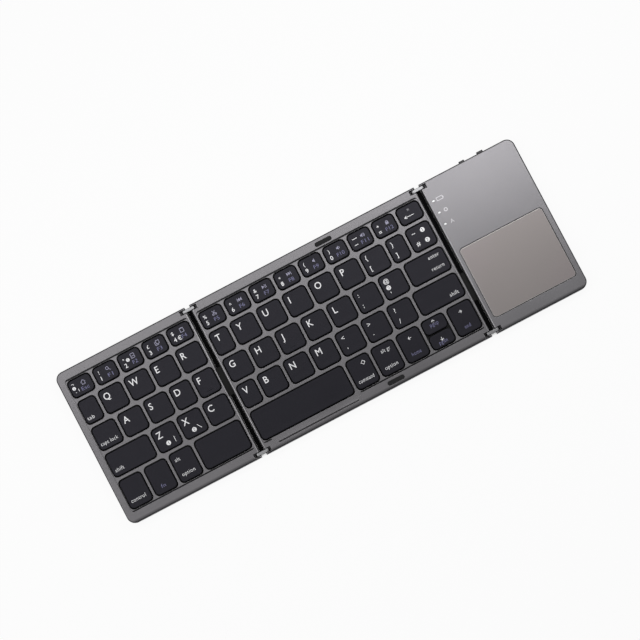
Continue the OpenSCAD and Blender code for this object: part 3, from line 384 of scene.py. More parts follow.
def boxOf(verts):
    lo = Vector(min(v.co[i] for v in verts) for i in range(3))
    hi = Vector(max(v.co[i] for v in verts) for i in range(3))
    return lo, hi


def pour(shape, bm):  # adds a shape to another one and lets it go
    mesh = bpy.data.meshes.new("poured")
    shape.to_mesh(mesh)
    shape.free()
    bm.from_mesh(mesh)
    bpy.data.meshes.remove(mesh)


def allOf(bm):
    return list(bm.verts) + list(bm.edges) + list(bm.faces)


def edgesIn(geom):
    return [part for part in geom if isinstance(part, bmesh.types.BMEdge)]


def pushFaces(bm, faces, height):
    grown = bmesh.ops.extrude_face_region(bm, geom=faces)["geom"]
    bmesh.ops.translate(bm, verts=[v for v in grown if isinstance(v, bmesh.types.BMVert)],
                        vec=(0, 0, height))


def easedBox(bm, centre, size, ease):
    verts = bmesh.ops.create_cube(bm, size=1)["verts"]
    bmesh.ops.scale(bm, verts=verts, vec=size)
    bmesh.ops.translate(bm, verts=verts, vec=centre)
    edges = list(dict.fromkeys(e for v in verts for e in v.link_edges))
    bmesh.ops.bevel(bm, geom=edges, offset=ease, segments=2, affect="EDGES", profile=0.5, material=-1)


# Rounds every outer edge sharper than the angle, and gives the new faces their own paint; on the shells
# that paint is lighter, a painted highlight along the eased edges
def easeEdges(bm, width, angle=32, segments=2, paintIndex=0, above=-1.0, below=99.0):
    bm.normal_update()
    sharp = [e for e in bm.edges if len(e.link_faces) == 2 and e.is_convex
             and e.calc_face_angle(0) > math.radians(angle)
             and all(above < v.co.z < below for v in e.verts)]
    made = bmesh.ops.bevel(bm, geom=sharp, offset=width, segments=segments, affect="EDGES",
                           profile=0.5, material=-1)
    for face in made["faces"]:
        face.material_index = paintIndex


# which faces count as sides, for the painted shade and highlight: the walls' greatest upward share,
# the least level share of a normal, and tilts in degrees
shadeAndGlintFaces = {"wall": 0.3, "flat": 0.09, "square": 0.9, "side": 20, "hinge": (5, 60)}


# painted shade: the walls of the openings take a near black, as if lying in the wells' shadow
def shadeWellWalls(bm, inner, reach, paintIndex):  # the walls of the openings around these boxes
    bm.normal_update()
    for face in bm.faces:
        spot = face.calc_center_median()
        if abs(face.normal.z) < shadeAndGlintFaces["wall"] and any(
                lo.x - reach < spot.x < hi.x + reach and lo.y - reach < spot.y < hi.y + reach
                for lo, hi in inner):
            face.material_index = paintIndex


# Paints shade on the outer sides of a shell and their rounded edges, a painted shade, and a painted
# highlight on the rounded edges beside its hinges
def paintSideShadeAndHingeGlint(bm, sideShadeIndex, hingeGlintIndex):
    lo, hi = boxOf(bm.verts)
    middle = (lo + hi) / 2
    bm.normal_update()
    for face in bm.faces:
        level = Vector((face.normal.x, face.normal.y, 0))
        if level.length < shadeAndGlintFaces["flat"]:
            continue
        level.normalize()
        spot = face.calc_center_median()
        tilt = math.degrees(math.acos(max(-1, min(1, face.normal.z))))
        outwardY = level.y * (1 if spot.y > middle.y else -1)
        atEnd = abs(spot.x) > caseEnd - caseCorner and level.x * spot.x > 0
        outwardX = level.x * (spot.x - middle.x) > 0 and abs(level.x) > shadeAndGlintFaces["square"]
        if tilt > shadeAndGlintFaces["side"] and (outwardY > 0.5 or atEnd):
            face.material_index = sideShadeIndex
        elif shadeAndGlintFaces["hinge"][0] < tilt < shadeAndGlintFaces["hinge"][1] and outwardX and not atEnd:
            face.material_index = hingeGlintIndex


def roundedBox(bm, lo, hi, cornerRadius, segments=5):
    made = bmesh.ops.create_cube(bm, size=1)["verts"]
    bmesh.ops.scale(bm, verts=made, vec=hi - lo)
    bmesh.ops.translate(bm, verts=made, vec=(lo + hi) / 2)
    uprights = [e for e in bm.edges if e.verts[0] in made and e.is_valid
                and abs(e.verts[0].co.z - e.verts[1].co.z) > 0.001]
    bmesh.ops.bevel(bm, geom=uprights, offset=cornerRadius, segments=segments, affect="EDGES",
                    profile=0.5, material=-1)


def rimEdges(bm, height):
    return [e for e in bm.edges if all(abs(v.co.z - height) < 0.001 for v in e.verts)
            and any(abs(f.normal.z) < 0.5 for f in e.link_faces)]


# Case shells, hinges and fittings taken over from the frame

leftRows = ["left_number_keys", "tab_key", "caps_lock_key", "left_shift_key", "control_key"]
middleRows = ["middle_number_keys", "middle_upper_keys", "enter_key", "right_shift_key", "space_key"]
keyNodes = [name for name in frame["nodes"] if name.endswith(("_keys", "_key"))]
leftKeys = [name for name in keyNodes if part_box(name)[1][0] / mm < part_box("left_spine")[0][0] / mm + 1]
middleKeys = [name for name in keyNodes if name not in leftKeys]
caseEnd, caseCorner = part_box("touch_top_cover")[1][0] / mm, 5
# painted shade: the wells are painted dark this far out
wellShadeReach = 0.75  # from a cap or the touchpad to beyond the wall of its opening
shells = {
    "left_top_frame": {"body": "left_panel", "slot": "case_frame", "paint": "deck",
                       "edge": "caseEdgeGlint", "ease": 0.08, "above": 5.9, "across": leftRows,
                       "wells": leftKeys},
    "middle_top_frame": {"body": "middle_panel", "slot": "case_frame", "paint": "deck",
                         "edge": "caseEdgeGlint", "ease": 0.08, "above": 5.9,
                         "across": middleRows + ["fold_bumpers"], "wells": middleKeys},
    "touch_top_cover": {"body": "touch_panel", "slot": "case_frame", "paint": "panel",
                        "edge": "caseEdgeGlint", "ease": 0.1, "above": 6.6,
                        "across": ["touchpad", "indicator_lenses"],
                        "wells": ["touchpad", "indicator_lenses"]},
    "fold_bumpers": {"body": "middle_panel", "slot": "rubber", "paint": "rubber", "ease": 0.3},
    "charging_socket": {"body": "touch_panel", "slot": "socket_metal", "paint": "socket", "ease": 0.05},
    "indicator_lenses": {"body": "touch_panel", "slot": "lamp_lens", "paint": "lens", "ease": 0.12},
    "pairing_button": {"body": "button", "slot": "control_black", "paint": "control", "ease": 0.15},
}
for panel in ("left", "middle", "touch"):
    body = panel + "_panel"
    shells[panel + "_bottom_cover"] = {"body": body, "slot": "bottom_cover", "paint": "cover",
                                       "edge": "coverEdge", "ease": 0.1, "below": 1.25,
                                       "across": [panel + "_screws", panel + "_feet"]}
    shells[panel + "_screws"] = {"body": body, "slot": "steel", "paint": "steel", "ease": 0.06}
    shells[panel + "_feet"] = {"body": body, "slot": "rubber", "paint": "rubber", "ease": 0.25}
for side in ("left", "right"):
    body = side + "_links"
    shells[side + "_hinge_links"] = {"body": body, "slot": "hinge_metal", "paint": "link", "ease": 0.3}
    shells[side + "_spine"] = {"body": body, "slot": "control_black", "paint": "spine", "ease": 0.08}
    shells[side + "_hinge_pins"] = {"body": body, "slot": "steel", "paint": "steel", "ease": 0.1}
for node, look in shells.items():
    bm = nodeShape(node)
    flatten(bm, middlesY(look.get("across", ())))
    paints = [look["paint"]] + ([look["edge"]] if "edge" in look else [])
    easeEdges(bm, look["ease"], segments=3 if look["ease"] > 0.2 else 2, paintIndex=len(paints) - 1,
              above=look.get("above", -1.0), below=look.get("below", 99.0))
    # painted shade on the outer sides and in the wells, and a painted highlight beside the hinges
    if "wells" in look:
        paintSideShadeAndHingeGlint(bm, len(paints), len(paints) + 1)
        paints += ["caseSideShade", "hingeGlint", "wellShade"]
        inner = []
        for name in look["wells"]:
            source = nodeShape(name)
            inner += [boxOf(group) for group in islands(source)]
            source.free()
        shadeWellWalls(bm, inner, wellShadeReach, len(paints) - 1)
    newPiece(node + "_look", bm, look["body"], paints, [node])
print("shells dressed:", len(shells))

inside = {  # parts that only show when the case is open
    "left_key_plate": "plate", "middle_key_plate": "plate", "touchpad_board": "plate",
    "main_board": "board", "battery": "foil",
}
for node, finish in inside.items():
    thing = frame["nodes"][node]
    if not thing.data.materials:
        thing.data.materials.append(paint[finish])
    for place in thing.material_slots:
        place.material = paint[finish]


# Power slider: knob with three ridges

knob = {"ridges": 3, "pitch": 1.1, "width": 0.4, "proud": 0.1, "sink": 0.1, "height": 1.1, "ease": 0.15,
        "ridgeEase": 0.06}
bm = nodeShape("power_slider")
flatten(bm)
easeEdges(bm, knob["ease"])
hi = boxOf(bm.verts)[1]
face = boxOf([v for v in bm.verts if v.co.y > hi.y - 0.01])
middle = (face[0] + face[1]) / 2
for i in range(knob["ridges"]):
    place = (middle.x + (i - (knob["ridges"] - 1) / 2) * knob["pitch"],
             middle.y + (knob["proud"] - knob["sink"]) / 2, middle.z)
    easedBox(bm, place, (knob["width"], knob["sink"] + knob["proud"], knob["height"]),
             knob["ridgeEase"])
newPiece("power_slider_look", bm, "slider", ["control"], ["power_slider"])


# Touchpad: a slab whose chamfer is painted bright, a painted highlight

# faces whose normals point between these shares upwards take the painted highlight
padLook = {"corner": 2.2, "chamfer": 0.22, "bright": (0.2, 0.98)}  # how far up bright faces look
lo, hi = nodeBox("touchpad")
bm = bmesh.new()
roundedBox(bm, lo, hi, padLook["corner"], 8)
bm.normal_update()
bmesh.ops.bevel(bm, geom=rimEdges(bm, hi.z), offset=padLook["chamfer"], segments=2,
                affect="EDGES", profile=0.5, material=-1)
bm.normal_update()
for face in bm.faces:
    if padLook["bright"][0] < face.normal.z < padLook["bright"][1]:
        face.material_index = 1
newPiece("touchpad_look", bm, "touch_panel", ["pad", "padEdgeGlint"], ["touchpad"])
print("touchpad made")


# Keycaps: hollow, with rounded corners and a shallow dish

capLook = {"corner": 2.4, "draft": 0.14, "edge": 0.38, "wall": 0.9, "roof": 0.9, "sideTilt": 0.75,
           "dish": ((0.9, 0.012), (1.2, 0.022), (1.4, 0.014))}


def makeCap(lo, hi):
    bm = bmesh.new()
    roundedBox(bm, lo, hi, capLook["corner"], 6)
    bm.normal_update()
    size = hi - lo
    centre = (lo + hi) / 2
    floorFace = [f for f in bm.faces if f.normal.z < -0.9]
    bmesh.ops.inset_region(bm, faces=floorFace, thickness=capLook["wall"], use_even_offset=True)
    pushFaces(bm, floorFace, size.z - capLook["roof"])
    top = [v for v in bm.verts if abs(v.co.z - hi.z) < 0.001]
    shrink = Vector((1 - 2 * capLook["draft"] / size.x, 1 - 2 * capLook["draft"] / size.y, 1))
    bmesh.ops.scale(bm, verts=top, vec=shrink, space=Matrix.Translation(-centre))
    bm.normal_update()
    bmesh.ops.bevel(bm, geom=rimEdges(bm, hi.z), offset=capLook["edge"], segments=4,
                    affect="EDGES", profile=0.5, material=-1)
    bm.normal_update()
    dish = [f for f in bm.faces if f.normal.z > 0.99 and f.calc_center_median().z > hi.z - 0.1]
    for step, sink in capLook["dish"]:
        bmesh.ops.inset_region(bm, faces=dish, thickness=0.01, use_even_offset=True)
        inner = list(dict.fromkeys(v for f in dish for v in f.verts))
        low, high = boxOf(inner)
        shrink = Vector((1 - 2 * step / (high.x - low.x), 1 - 2 * step / (high.y - low.y), 1))
        bmesh.ops.scale(bm, verts=inner, vec=shrink, space=Matrix.Translation(-centre))
        bmesh.ops.translate(bm, verts=inner, vec=(0, 0, -sink))
    bmesh.ops.recalc_face_normals(bm, faces=bm.faces)
    # painted shade: the caps' sides take the dark matte paint of the wells
    for face in bm.faces:
        if face.normal.z < capLook["sideTilt"]:
            face.material_index = 1
    return bm


# Printing on the keys

centred = ("middle", "middle")
wordLook = {"size": 3.3, "bold": 0.0, "thin": 0.01, "spacing": 1.1}
# size of the type, how it is held to its place, and its ink
typeLook = {
    "letter": {"size": 5.8, "hold": ("left", "top"), "ink": "whiteInk", "bold": 0.07, "stretch": 0.92},
    "digit": {"size": 3.6, "hold": centred, "ink": "whiteInk", "bold": 0.07},
    "sign": {"size": 3.0, "hold": centred, "ink": "whiteInk", "bold": 0.05},
    "bigSign": {"size": 3.9, "hold": centred, "ink": "whiteInk", "bold": 0.03},
    "word": {**wordLook, "hold": ("left", "base"), "ink": "whiteInk"},
    "lastWord": {**wordLook, "hold": ("right", "base"), "ink": "whiteInk"},
    "blueWord": {**wordLook, "hold": ("middle", "base"), "ink": "blueInk"},
    "label": {"size": 3.2, "hold": centred, "ink": "blueInk", "bold": 0.0},
    "disc": {"size": 3.4, "hold": centred, "ink": "whiteInk", "bold": 0.0},
    "smallDisc": {"size": 2.6, "hold": centred, "ink": "whiteInk", "bold": 0.0},
    "arrow": {"size": 3.0, "hold": centred, "ink": "whiteInk", "bold": 0.08},
    "faint": {"size": 3.4, "hold": centred, "ink": "greyInk", "bold": 0.02},
}
# a line runs past its ends by a share of its width, and the cosine of half its turn limits its mitre
inkLook = {"thick": 0.03, "proud": 0.015, "step": 0.004, "stroke": 0.32, "icon": 2.7,
           "pastEnd": 0.35, "sharpest": 0.45}


def arc(x, y, radius, start, end, steps=8):
    return [(x + radius * math.cos(math.radians(start + (end - start) * i / steps)),
             y + radius * math.sin(math.radians(start + (end - start) * i / steps)))
            for i in range(steps + 1)]


# icons in a square of side 1: lines, then filled shapes
speaker = [(0.0, 0.34), (0.2, 0.34), (0.5, 0.05), (0.5, 0.95), (0.2, 0.66), (0.0, 0.66)]
icons = {
    "house": ([[(0, 0.5), (0.5, 1), (1, 0.5)], [(0.16, 0.4), (0.16, 0), (0.84, 0), (0.84, 0.4)]], []),
    "search": ([arc(0.38, 0.62, 0.32, 0, 360, 12), [(0.6, 0.4), (1, 0)]], []),
    "stack": ([[(0.1, 0), (0.9, 0), (0.9, 0.45), (0.1, 0.45), (0.1, 0)],
               [(0.1, 0.6), (0.1, 1), (0.9, 1), (0.9, 0.6)]], []),
    "copy": ([[(0.3, 0.25), (1, 0.25), (1, 1), (0.3, 1), (0.3, 0.25)],
              [(0.3, 0.7), (0, 0.7), (0, 0), (0.7, 0), (0.7, 0.25)]], []),
    "clipboard": ([[(0.1, 0), (0.9, 0), (0.9, 0.9), (0.1, 0.9), (0.1, 0)]],
                  [[(0.3, 0.78), (0.7, 0.78), (0.7, 1), (0.3, 1)]]),
    "cut": ([arc(0.2, 0.2, 0.17, 0, 360, 10), arc(0.8, 0.2, 0.17, 0, 360, 10),
             [(0.3, 0.33), (0.8, 1)], [(0.7, 0.33), (0.2, 1)]], []),
    "previous": ([[(0.0, 0.15), (0.0, 0.85)]],
                 [[(0.1, 0.5), (0.55, 0.1), (0.55, 0.9)], [(0.55, 0.5), (1, 0.1), (1, 0.9)]]),
    "play": ([[(0.65, 0.15), (0.65, 0.85)], [(0.92, 0.15), (0.92, 0.85)]],
             [[(0.0, 0.1), (0.5, 0.5), (0.0, 0.9)]]),
    "next": ([[(1.0, 0.15), (1.0, 0.85)]],
             [[(0, 0.1), (0.45, 0.5), (0, 0.9)], [(0.45, 0.1), (0.9, 0.5), (0.45, 0.9)]]),
    "mute": ([], [speaker]),
    "quieter": ([arc(0.45, 0.5, 0.3, -45, 45, 5)], [speaker]),
    "louder": ([arc(0.45, 0.5, 0.3, -45, 45, 5), arc(0.45, 0.5, 0.52, -45, 45, 6)], [speaker]),
    "lock": ([arc(0.5, 0.55, 0.24, 0, 180, 8)], [[(0.15, 0), (0.85, 0), (0.85, 0.55), (0.15, 0.55)]]),
}


def stroke(bm, points, width, thick, level=0):  # a flat line, closed where it ends at its start
    spots = [Vector(point) for point in points]
    closed = len(spots) > 2 and (spots[0] - spots[-1]).length < 0.001
    if closed:
        spots.pop()
    rise = level * inkLook["step"]  # lines that cross don't lie at the same height
    rows = []
    for i, spot in enumerate(spots):
        before = spots[i - 1] if closed or i > 0 else spot
        after = spots[(i + 1) % len(spots)] if closed or i < len(spots) - 1 else spot
        arriving = (spot - before) if before != spot else (after - spot)
        leaving = (after - spot) if after != spot else (spot - before)
        across = Vector((-arriving.y, arriving.x)).normalized()
        side = (across + Vector((-leaving.y, leaving.x)).normalized()).normalized()
        side *= width / 2 / max(inkLook["sharpest"], side.dot(across))
        if before == spot:
            spot = spot - arriving.normalized() * width * inkLook["pastEnd"]
        elif after == spot:
            spot = spot + leaving.normalized() * width * inkLook["pastEnd"]
        rows.append([bm.verts.new((*place, z + rise)) for place, z in (
            (spot + side, thick / 2), (spot - side, thick / 2),
            (spot - side, -thick / 2), (spot + side, -thick / 2))])
    for first, second in zip(rows, rows[1:] + (rows[:1] if closed else [])):
        for k in range(4):
            bm.faces.new((first[k], first[(k + 1) % 4], second[(k + 1) % 4], second[k]))
    if not closed:
        bm.faces.new(rows[0])
        bm.faces.new(rows[-1][::-1])
    bmesh.ops.recalc_face_normals(bm, faces=bm.faces)


def iconShape(name, side, width, thick):
    bm = bmesh.new()
    lines, fills = icons[name]
    for level, line in enumerate(lines):
        stroke(bm, [(side * (x - 0.5), side * (y - 0.5)) for x, y in line], width, thick, level)
    for fill in fills:
        corners = [bm.verts.new((side * (x - 0.5), side * (y - 0.5), -thick / 2)) for x, y in fill]
        pushFaces(bm, [bm.faces.new(corners)], thick)
    bmesh.ops.recalc_face_normals(bm, faces=bm.faces)
    return bm


def textShape(text, size, bold, thick, thin=0.0, spacing=1.0):
    curve = bpy.data.curves.new("type", "FONT")
    curve.body = text
    curve.size = size
    curve.offset = -thin
    curve.space_character = spacing
    curve.bevel_depth = bold
    curve.bevel_resolution = 0
    curve.extrude = thick / 2
    curve.resolution_u = 3
    thing = bpy.data.objects.new("type", curve)
    bpy.context.collection.objects.link(thing)
    mesh = bpy.data.meshes.new_from_object(thing)
    bm = bmesh.new()
    bm.from_mesh(mesh)
    bpy.data.objects.remove(thing)
    bpy.data.curves.remove(curve)
    bpy.data.meshes.remove(mesh)
    bmesh.ops.remove_doubles(bm, verts=bm.verts, dist=1e-5)
    return bm


# Puts one mark on a cap: x from the hole's left edge, or from its right one where below nought,
# y from its rear edge, or from its front one where below nought
def printMark(inks, mark, hole, tree):
    kind, text, x, y = mark[:4]
    look = typeLook.get(kind)
    if kind == "icon":
        shape = iconShape(text, inkLook["icon"], inkLook["stroke"], inkLook["thick"])
        hold, ink = centred, "iconInk"
    elif kind == "line":
        shape = bmesh.new()
        for level, line in enumerate(text):
            stroke(shape, line, inkLook["stroke"], inkLook["thick"], level)
        hold, ink = centred, "whiteInk"
    else:
        shape = textShape(text, look["size"], look["bold"], inkLook["thick"], look.get("thin", 0.0),
                          look.get("spacing", 1.0))
        bmesh.ops.scale(shape, verts=shape.verts, vec=(look.get("stretch", 1), 1, 1))
        hold, ink = look["hold"], look["ink"]
    lo, hi = boxOf(shape.verts)
    if len(mark) > 4:
        bmesh.ops.scale(shape, verts=shape.verts, vec=(mark[4] / (hi.x - lo.x), 1, 1))
        lo, hi = boxOf(shape.verts)
    left = hole[0].x if x >= 0 else hole[1].x
    rear = hole[1].y if y >= 0 else hole[0].y
    heldX = {"left": lo.x, "middle": (lo.x + hi.x) / 2, "right": hi.x}[hold[0]]
    heldY = {"top": hi.y, "middle": (lo.y + hi.y) / 2, "base": 0}[hold[1]]
    for vert in shape.verts:
        spot = Vector((left + x + vert.co.x - heldX, rear - y + vert.co.y - heldY, 0))
        hit = tree.ray_cast(spot + Vector((0, 0, 50)), Vector((0, 0, -1)))[0]
        surface = hit.z if hit else hole[1].z
        lift = inkLook["proud"] - inkLook["thick"] / 2
        vert.co = Vector((spot.x, spot.y, surface + lift + vert.co.z))
    if ink not in inks:
        inks[ink] = bmesh.new()
    pour(shape, inks[ink])


leftLetterX = 2.65  # the left panel's letters stand nearer to the edge than the middle panel's


def letter(text, x=3.4):
    return [("letter", text, x, 3.05)]


def functionKey(icon, label):  # the right half of a number key
    return [("icon", icon, 9.6, 4.3), ("label", label, 9.6, 8.0, 4.8 if len(label) > 2 else 3.2)]


def number(upper, lower, icon, label):
    return [("sign", upper, 3.6, 4.2), ("digit", lower, 3.6, 8.0)] + functionKey(icon, label)


def pair(upper, lower, x=3.6):
    return [("bigSign", upper, x, 4.5), ("bigSign", lower, x, 11.3)]


# for each key node, the marks on each of its caps from left to right: kind, text, x, y and,
# where it matters, the width
printing = {
    "left_number_keys": [
        [("sign", "¬", 3.2, 3.4), ("smallDisc", "❶", 3.1, 5.8), ("sign", "`", 3.2, 8.4),
         ("line", [[(0, 0), (0, 1.6)]], 5.3, 7.7), ("icon", "house", 9.6, 4.4),
         ("label", "Esc", 9.5, 8.0, 5.0)],
        number("!", "1", "search", "F1"),
        number("\"", "2", "stack", "F2") + [("smallDisc", "❷", 6.0, 5.4)],
        number("£", "3", "copy", "F3"),
        number("$", "4", "clipboard", "F4") + [("digit", "€", 6.5, 8.0)],
    ],
    "tab_key": [[("word", "tab", 1.9, -2.9, 4.5)]],
    "left_upper_keys": [letter(c, leftLetterX) for c in "QWER"],
    "caps_lock_key": [[("word", "caps lock", 2.0, -3.3, 11.1)]],
    "left_home_keys": [letter(c, leftLetterX) for c in "ASDF"],
    "left_shift_key": [[("word", "shift", 2.5, -3.3, 5.6)]],
    "left_lower_keys": [
        letter("Z", leftLetterX) + [("disc", "❶", 7.4, 11.5),
                                    ("line", [[(0, 0), (0, 3.2)]], 11.8, 11.0)],
        letter("X", leftLetterX) + [("disc", "❷", 7.3, 11.5),
                                    ("line", [[(0, 0), (1.9, -2.8)]], 10.9, 11.0)],
        letter("C", leftLetterX),
    ],
    "control_key": [[("word", "control", 2.5, -4.15, 9.4)]],
    "fn_key": [[("blueWord", "fn", 6.7, -3.8, 2.8)]],
    "left_alt_key": [[("word", "alt", 2.85, 6.1, 3.2), ("word", "option", 2.85, -4.2, 8.4)]],
    "left_space_key": [[]],
    "middle_number_keys": [
        number("%", "5", "cut", "F5"), number("^", "6", "previous", "F6"),
        number("&", "7", "play", "F7"), number("*", "8", "next", "F8"),
        number("(", "9", "mute", "F9"), number(")", "0", "quieter", "F10"),
        [("line", [[(0, 0), (3.0, 0)]], 4.4, 4.2),
         ("line", [[(0, 0), (2.2, 0)]], 3.9, 8.0)] + functionKey("louder", "F11"),
        number("+", "=", "lock", "F12"),
    ],
    "backspace_key": [[("faint", "×", 7.8, 3.5),
                       ("line", [[(0, 0), (5.8, 0)], [(1.3, 0.8), (0, 0), (1.3, -0.8)]], 6.6, 7.3)]],
    "middle_upper_keys": [letter(c) for c in "TYUIOP"] + [
        pair("{", "["), pair("}", "]"),
        pair("~", "#", 4.6) + [("disc", "❶", 10.5, 4.5), ("disc", "❷", 10.5, 11.1)],
    ],
    "middle_home_keys": [letter(c) for c in "GHJKL"] + [
        pair(":", ";", 3.3),
        [("digit", "@", 4.5, 4.4), ("disc", "❸", 4.2, 8.3), ("bigSign", "'", 4.2, 11.4)],
    ],
    "enter_key": [[("lastWord", "enter", -3.8, 4.9, 6.9), ("lastWord", "return", -3.8, 11.9, 7.9)]],
    "middle_lower_keys": [letter(c) for c in "VBNM"] + [
        pair("<", ",", 4.3), pair(">", ".", 4.3), pair("?", "/", 4.5),
    ],
    "right_shift_key": [[("lastWord", "shift", -3.7, -3.3, 5.7)]],
    "space_key": [[]],
    "system_key": [[("word", "command", 2.7, -3.9, 10.0), ("sign", "◇", 10.4, 5.1)]],
    "right_alt_key": [[("word", "alt gr", 5.7, 5.7, 6.0), ("word", "option", 3.4, -4.0, 8.4)]],
    "arrow_left_key": [[("arrow", "←", 7.7, 5.3, 2.2), ("blueWord", "home", 7.5, -3.9, 6.0)]],
    "arrow_up_key": [[("arrow", "↑", 7.8, 3.0), ("blueWord", "pgup", 7.8, 5.5, 5.4)]],
    "arrow_down_key": [[("arrow", "↓", 7.8, -5.1), ("blueWord", "pgdn", 7.8, -2.4, 5.4)]],
    "arrow_right_key": [[("arrow", "→", 7.7, 5.3, 2.2), ("blueWord", "end", 7.7, -3.9, 3.75)]],
}
homeBars = {"left_home_keys": 3, "middle_home_keys": 2}  # which cap of the row has the raised bar
homeBar = {"x": 7.0, "y": 12.6, "size": (3.6, 0.7, 0.35), "ease": 0.15}

keyBoxes = {}
printed = 0
for node, marks in printing.items():
    body = node.replace("_keys", "_row").replace("_key", "_cap")
    source = nodeShape(node)
    boxes = sorted((boxOf(group) for group in islands(source)), key=lambda b: b[0].x)
    source.free()
    keyBoxes[node] = boxes
    caps = bmesh.new()
    for lo, hi in boxes:
        pour(makeCap(lo, hi), caps)
    tree = BVHTree.FromBMesh(caps)
    if node in homeBars:
        lo, hi = boxes[homeBars[node]]
        easedBox(caps, (lo.x + homeBar["x"] - keyGap, hi.y - homeBar["y"] + keyGap, hi.z),
                 homeBar["size"], homeBar["ease"])
    inks = {}
    gap = Vector((keyGap, keyGap, 0))
    for (lo, hi), cap in zip(boxes, marks):
        for mark in cap:
            printMark(inks, mark, (lo - gap, hi + gap), tree)
            printed += 1
    newPiece(node + "_look", caps, body, ["key", "wellShade"], [node])
    for ink, bm in inks.items():
        newPiece(node + "_" + ink, bm, body, [ink])
print("keycaps made, marks printed:", printed)


# Domes and scissors: a dome sheet for each panel, and the domes and scissors of each key node as pieces of
# their own

domeLook = {"foot": 2.0, "waist": 1.45, "top": 1.1, "ring": 0.25, "rooted": 0.1, "lip": 0.35,
            "waistBelow": 1.8, "neckBelow": 1.2, "cut": 0.02, "steps": 24}


def jointOf(node):
    return node.replace("_keys", "_row_press").replace("_key", "_press")


def panelOf(node):
    joint = {j["name"]: j for j in frame["joints"]}[jointOf(node)]
    return joint["parent"]


def within(point, box):
    return box[0].x <= point.x <= box[1].x and box[0].y <= point.y <= box[1].y


for panel in ("left", "middle"):
    whole = nodeShape(panel + "_domes")
    low, high = boxOf(whole.verts)
    sheetTop = min(v.co.z for v in whole.verts if v.co.z > low.z + 0.1)
    domeTop = high.z
    sliced = bmesh.ops.bisect_plane(whole, geom=allOf(whole), plane_no=(0, 0, 1), clear_outer=True,
                                    plane_co=(0, 0, sheetTop - domeLook["cut"]))
    bmesh.ops.triangle_fill(whole, use_beauty=True, edges=edgesIn(sliced["geom_cut"]))
    bmesh.ops.recalc_face_normals(whole, faces=whole.faces)
    newPiece(panel + "_dome_sheet", whole, panel + "_panel", ["dome"],
             [panel + "_domes"])
    scissors = nodeShape(panel + "_scissors")
    groups = [(group, boxOf(group)) for group in islands(scissors)]
    for node, boxes in keyBoxes.items():
        if panelOf(node) != panel + "_panel":
            continue
        domes = bmesh.new()
        for lo, hi in boxes:
            centre = (lo + hi) / 2
            base = sheetTop - domeLook["rooted"]
            foot, waist, top, ring = (domeLook[key] for key in ("foot", "waist", "top", "ring"))
            profile = [(0.0, base), (foot, base), (foot, sheetTop + domeLook["lip"]),
                       (waist, domeTop - domeLook["waistBelow"]),
                       (top, domeTop - domeLook["neckBelow"]), (top, domeTop - ring),
                       (top - ring, domeTop), (0.0, domeTop)]
            verts = [domes.verts.new((centre.x + r, centre.y, z)) for r, z in profile]
            edges = [domes.edges.new(two) for two in zip(verts, verts[1:])]
            bmesh.ops.spin(domes, geom=verts + edges, cent=(centre.x, centre.y, 0), axis=(0, 0, 1),
                           angle=math.tau, steps=domeLook["steps"], use_merge=True)
        bmesh.ops.remove_doubles(domes, verts=domes.verts, dist=0.001)
        bmesh.ops.recalc_face_normals(domes, faces=domes.faces)
        piece = newPiece(node.replace("key", "dome"), domes, panel + "_panel", ["dome"])
        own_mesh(piece)
        mine = [group for group, (lo, hi) in groups
                if any(within((lo + hi) / 2, box) for box in boxes)]
        if not mine:
            continue
        scissors.verts.index_update()
        kept = {v.index for group in mine for v in group}
        share = scissors.copy()
        share.verts.index_update()
        bmesh.ops.delete(share, geom=[v for v in share.verts if v.index not in kept], context="VERTS")
        flatten(share)
        piece = newPiece(node.replace("key", "scissor"), share, panel + "_panel",
                         ["scissor"], [panel + "_scissors"])
        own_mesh(piece)
    scissors.free()
print("domes and scissors made")


# Ribbon cables, each cut in two halves at the spine's middle, with cuts across each half around a hinge
# pin

ribbonLook = {"pivot": 2.8, "before": 1.5, "after": 2.2, "cuts": 14}
for side, bodies in (("left", ("left_panel", "left_links", "middle_panel")),
                     ("right", ("middle_panel", "right_links", "touch_panel"))):
    lo, hi = nodeBox(side + "_spine")
    axis = (lo.x + hi.x) / 2
    for half in (0, 1):
        bm = nodeShape(side + "_ribbon")
        sign = -1 if half == 0 else 1
        cut = bmesh.ops.bisect_plane(bm, geom=allOf(bm), plane_co=(axis, 0, 0),
                                     plane_no=(-sign, 0, 0), clear_outer=True)
        bmesh.ops.holes_fill(bm, edges=edgesIn(cut["geom_cut"]))
        pivot = axis + sign * ribbonLook["pivot"]
        first = pivot + sign * ribbonLook["before"]
        last = pivot - sign * ribbonLook["after"]
        for i in range(ribbonLook["cuts"] + 1):
            x = first + (last - first) * i / ribbonLook["cuts"]
            bmesh.ops.bisect_plane(bm, geom=allOf(bm), plane_co=(x, 0, 0), plane_no=(1, 0, 0))
        bmesh.ops.recalc_face_normals(bm, faces=bm.faces)
        piece = newPiece(f"{side}_ribbon_{half + 1}", bm, None, ["film"], [side + "_ribbon"])
        if half == 0:
            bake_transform(piece)
        else:
            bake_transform(piece)
print("ribbon cables made")


# Marks beside the indicator lamps

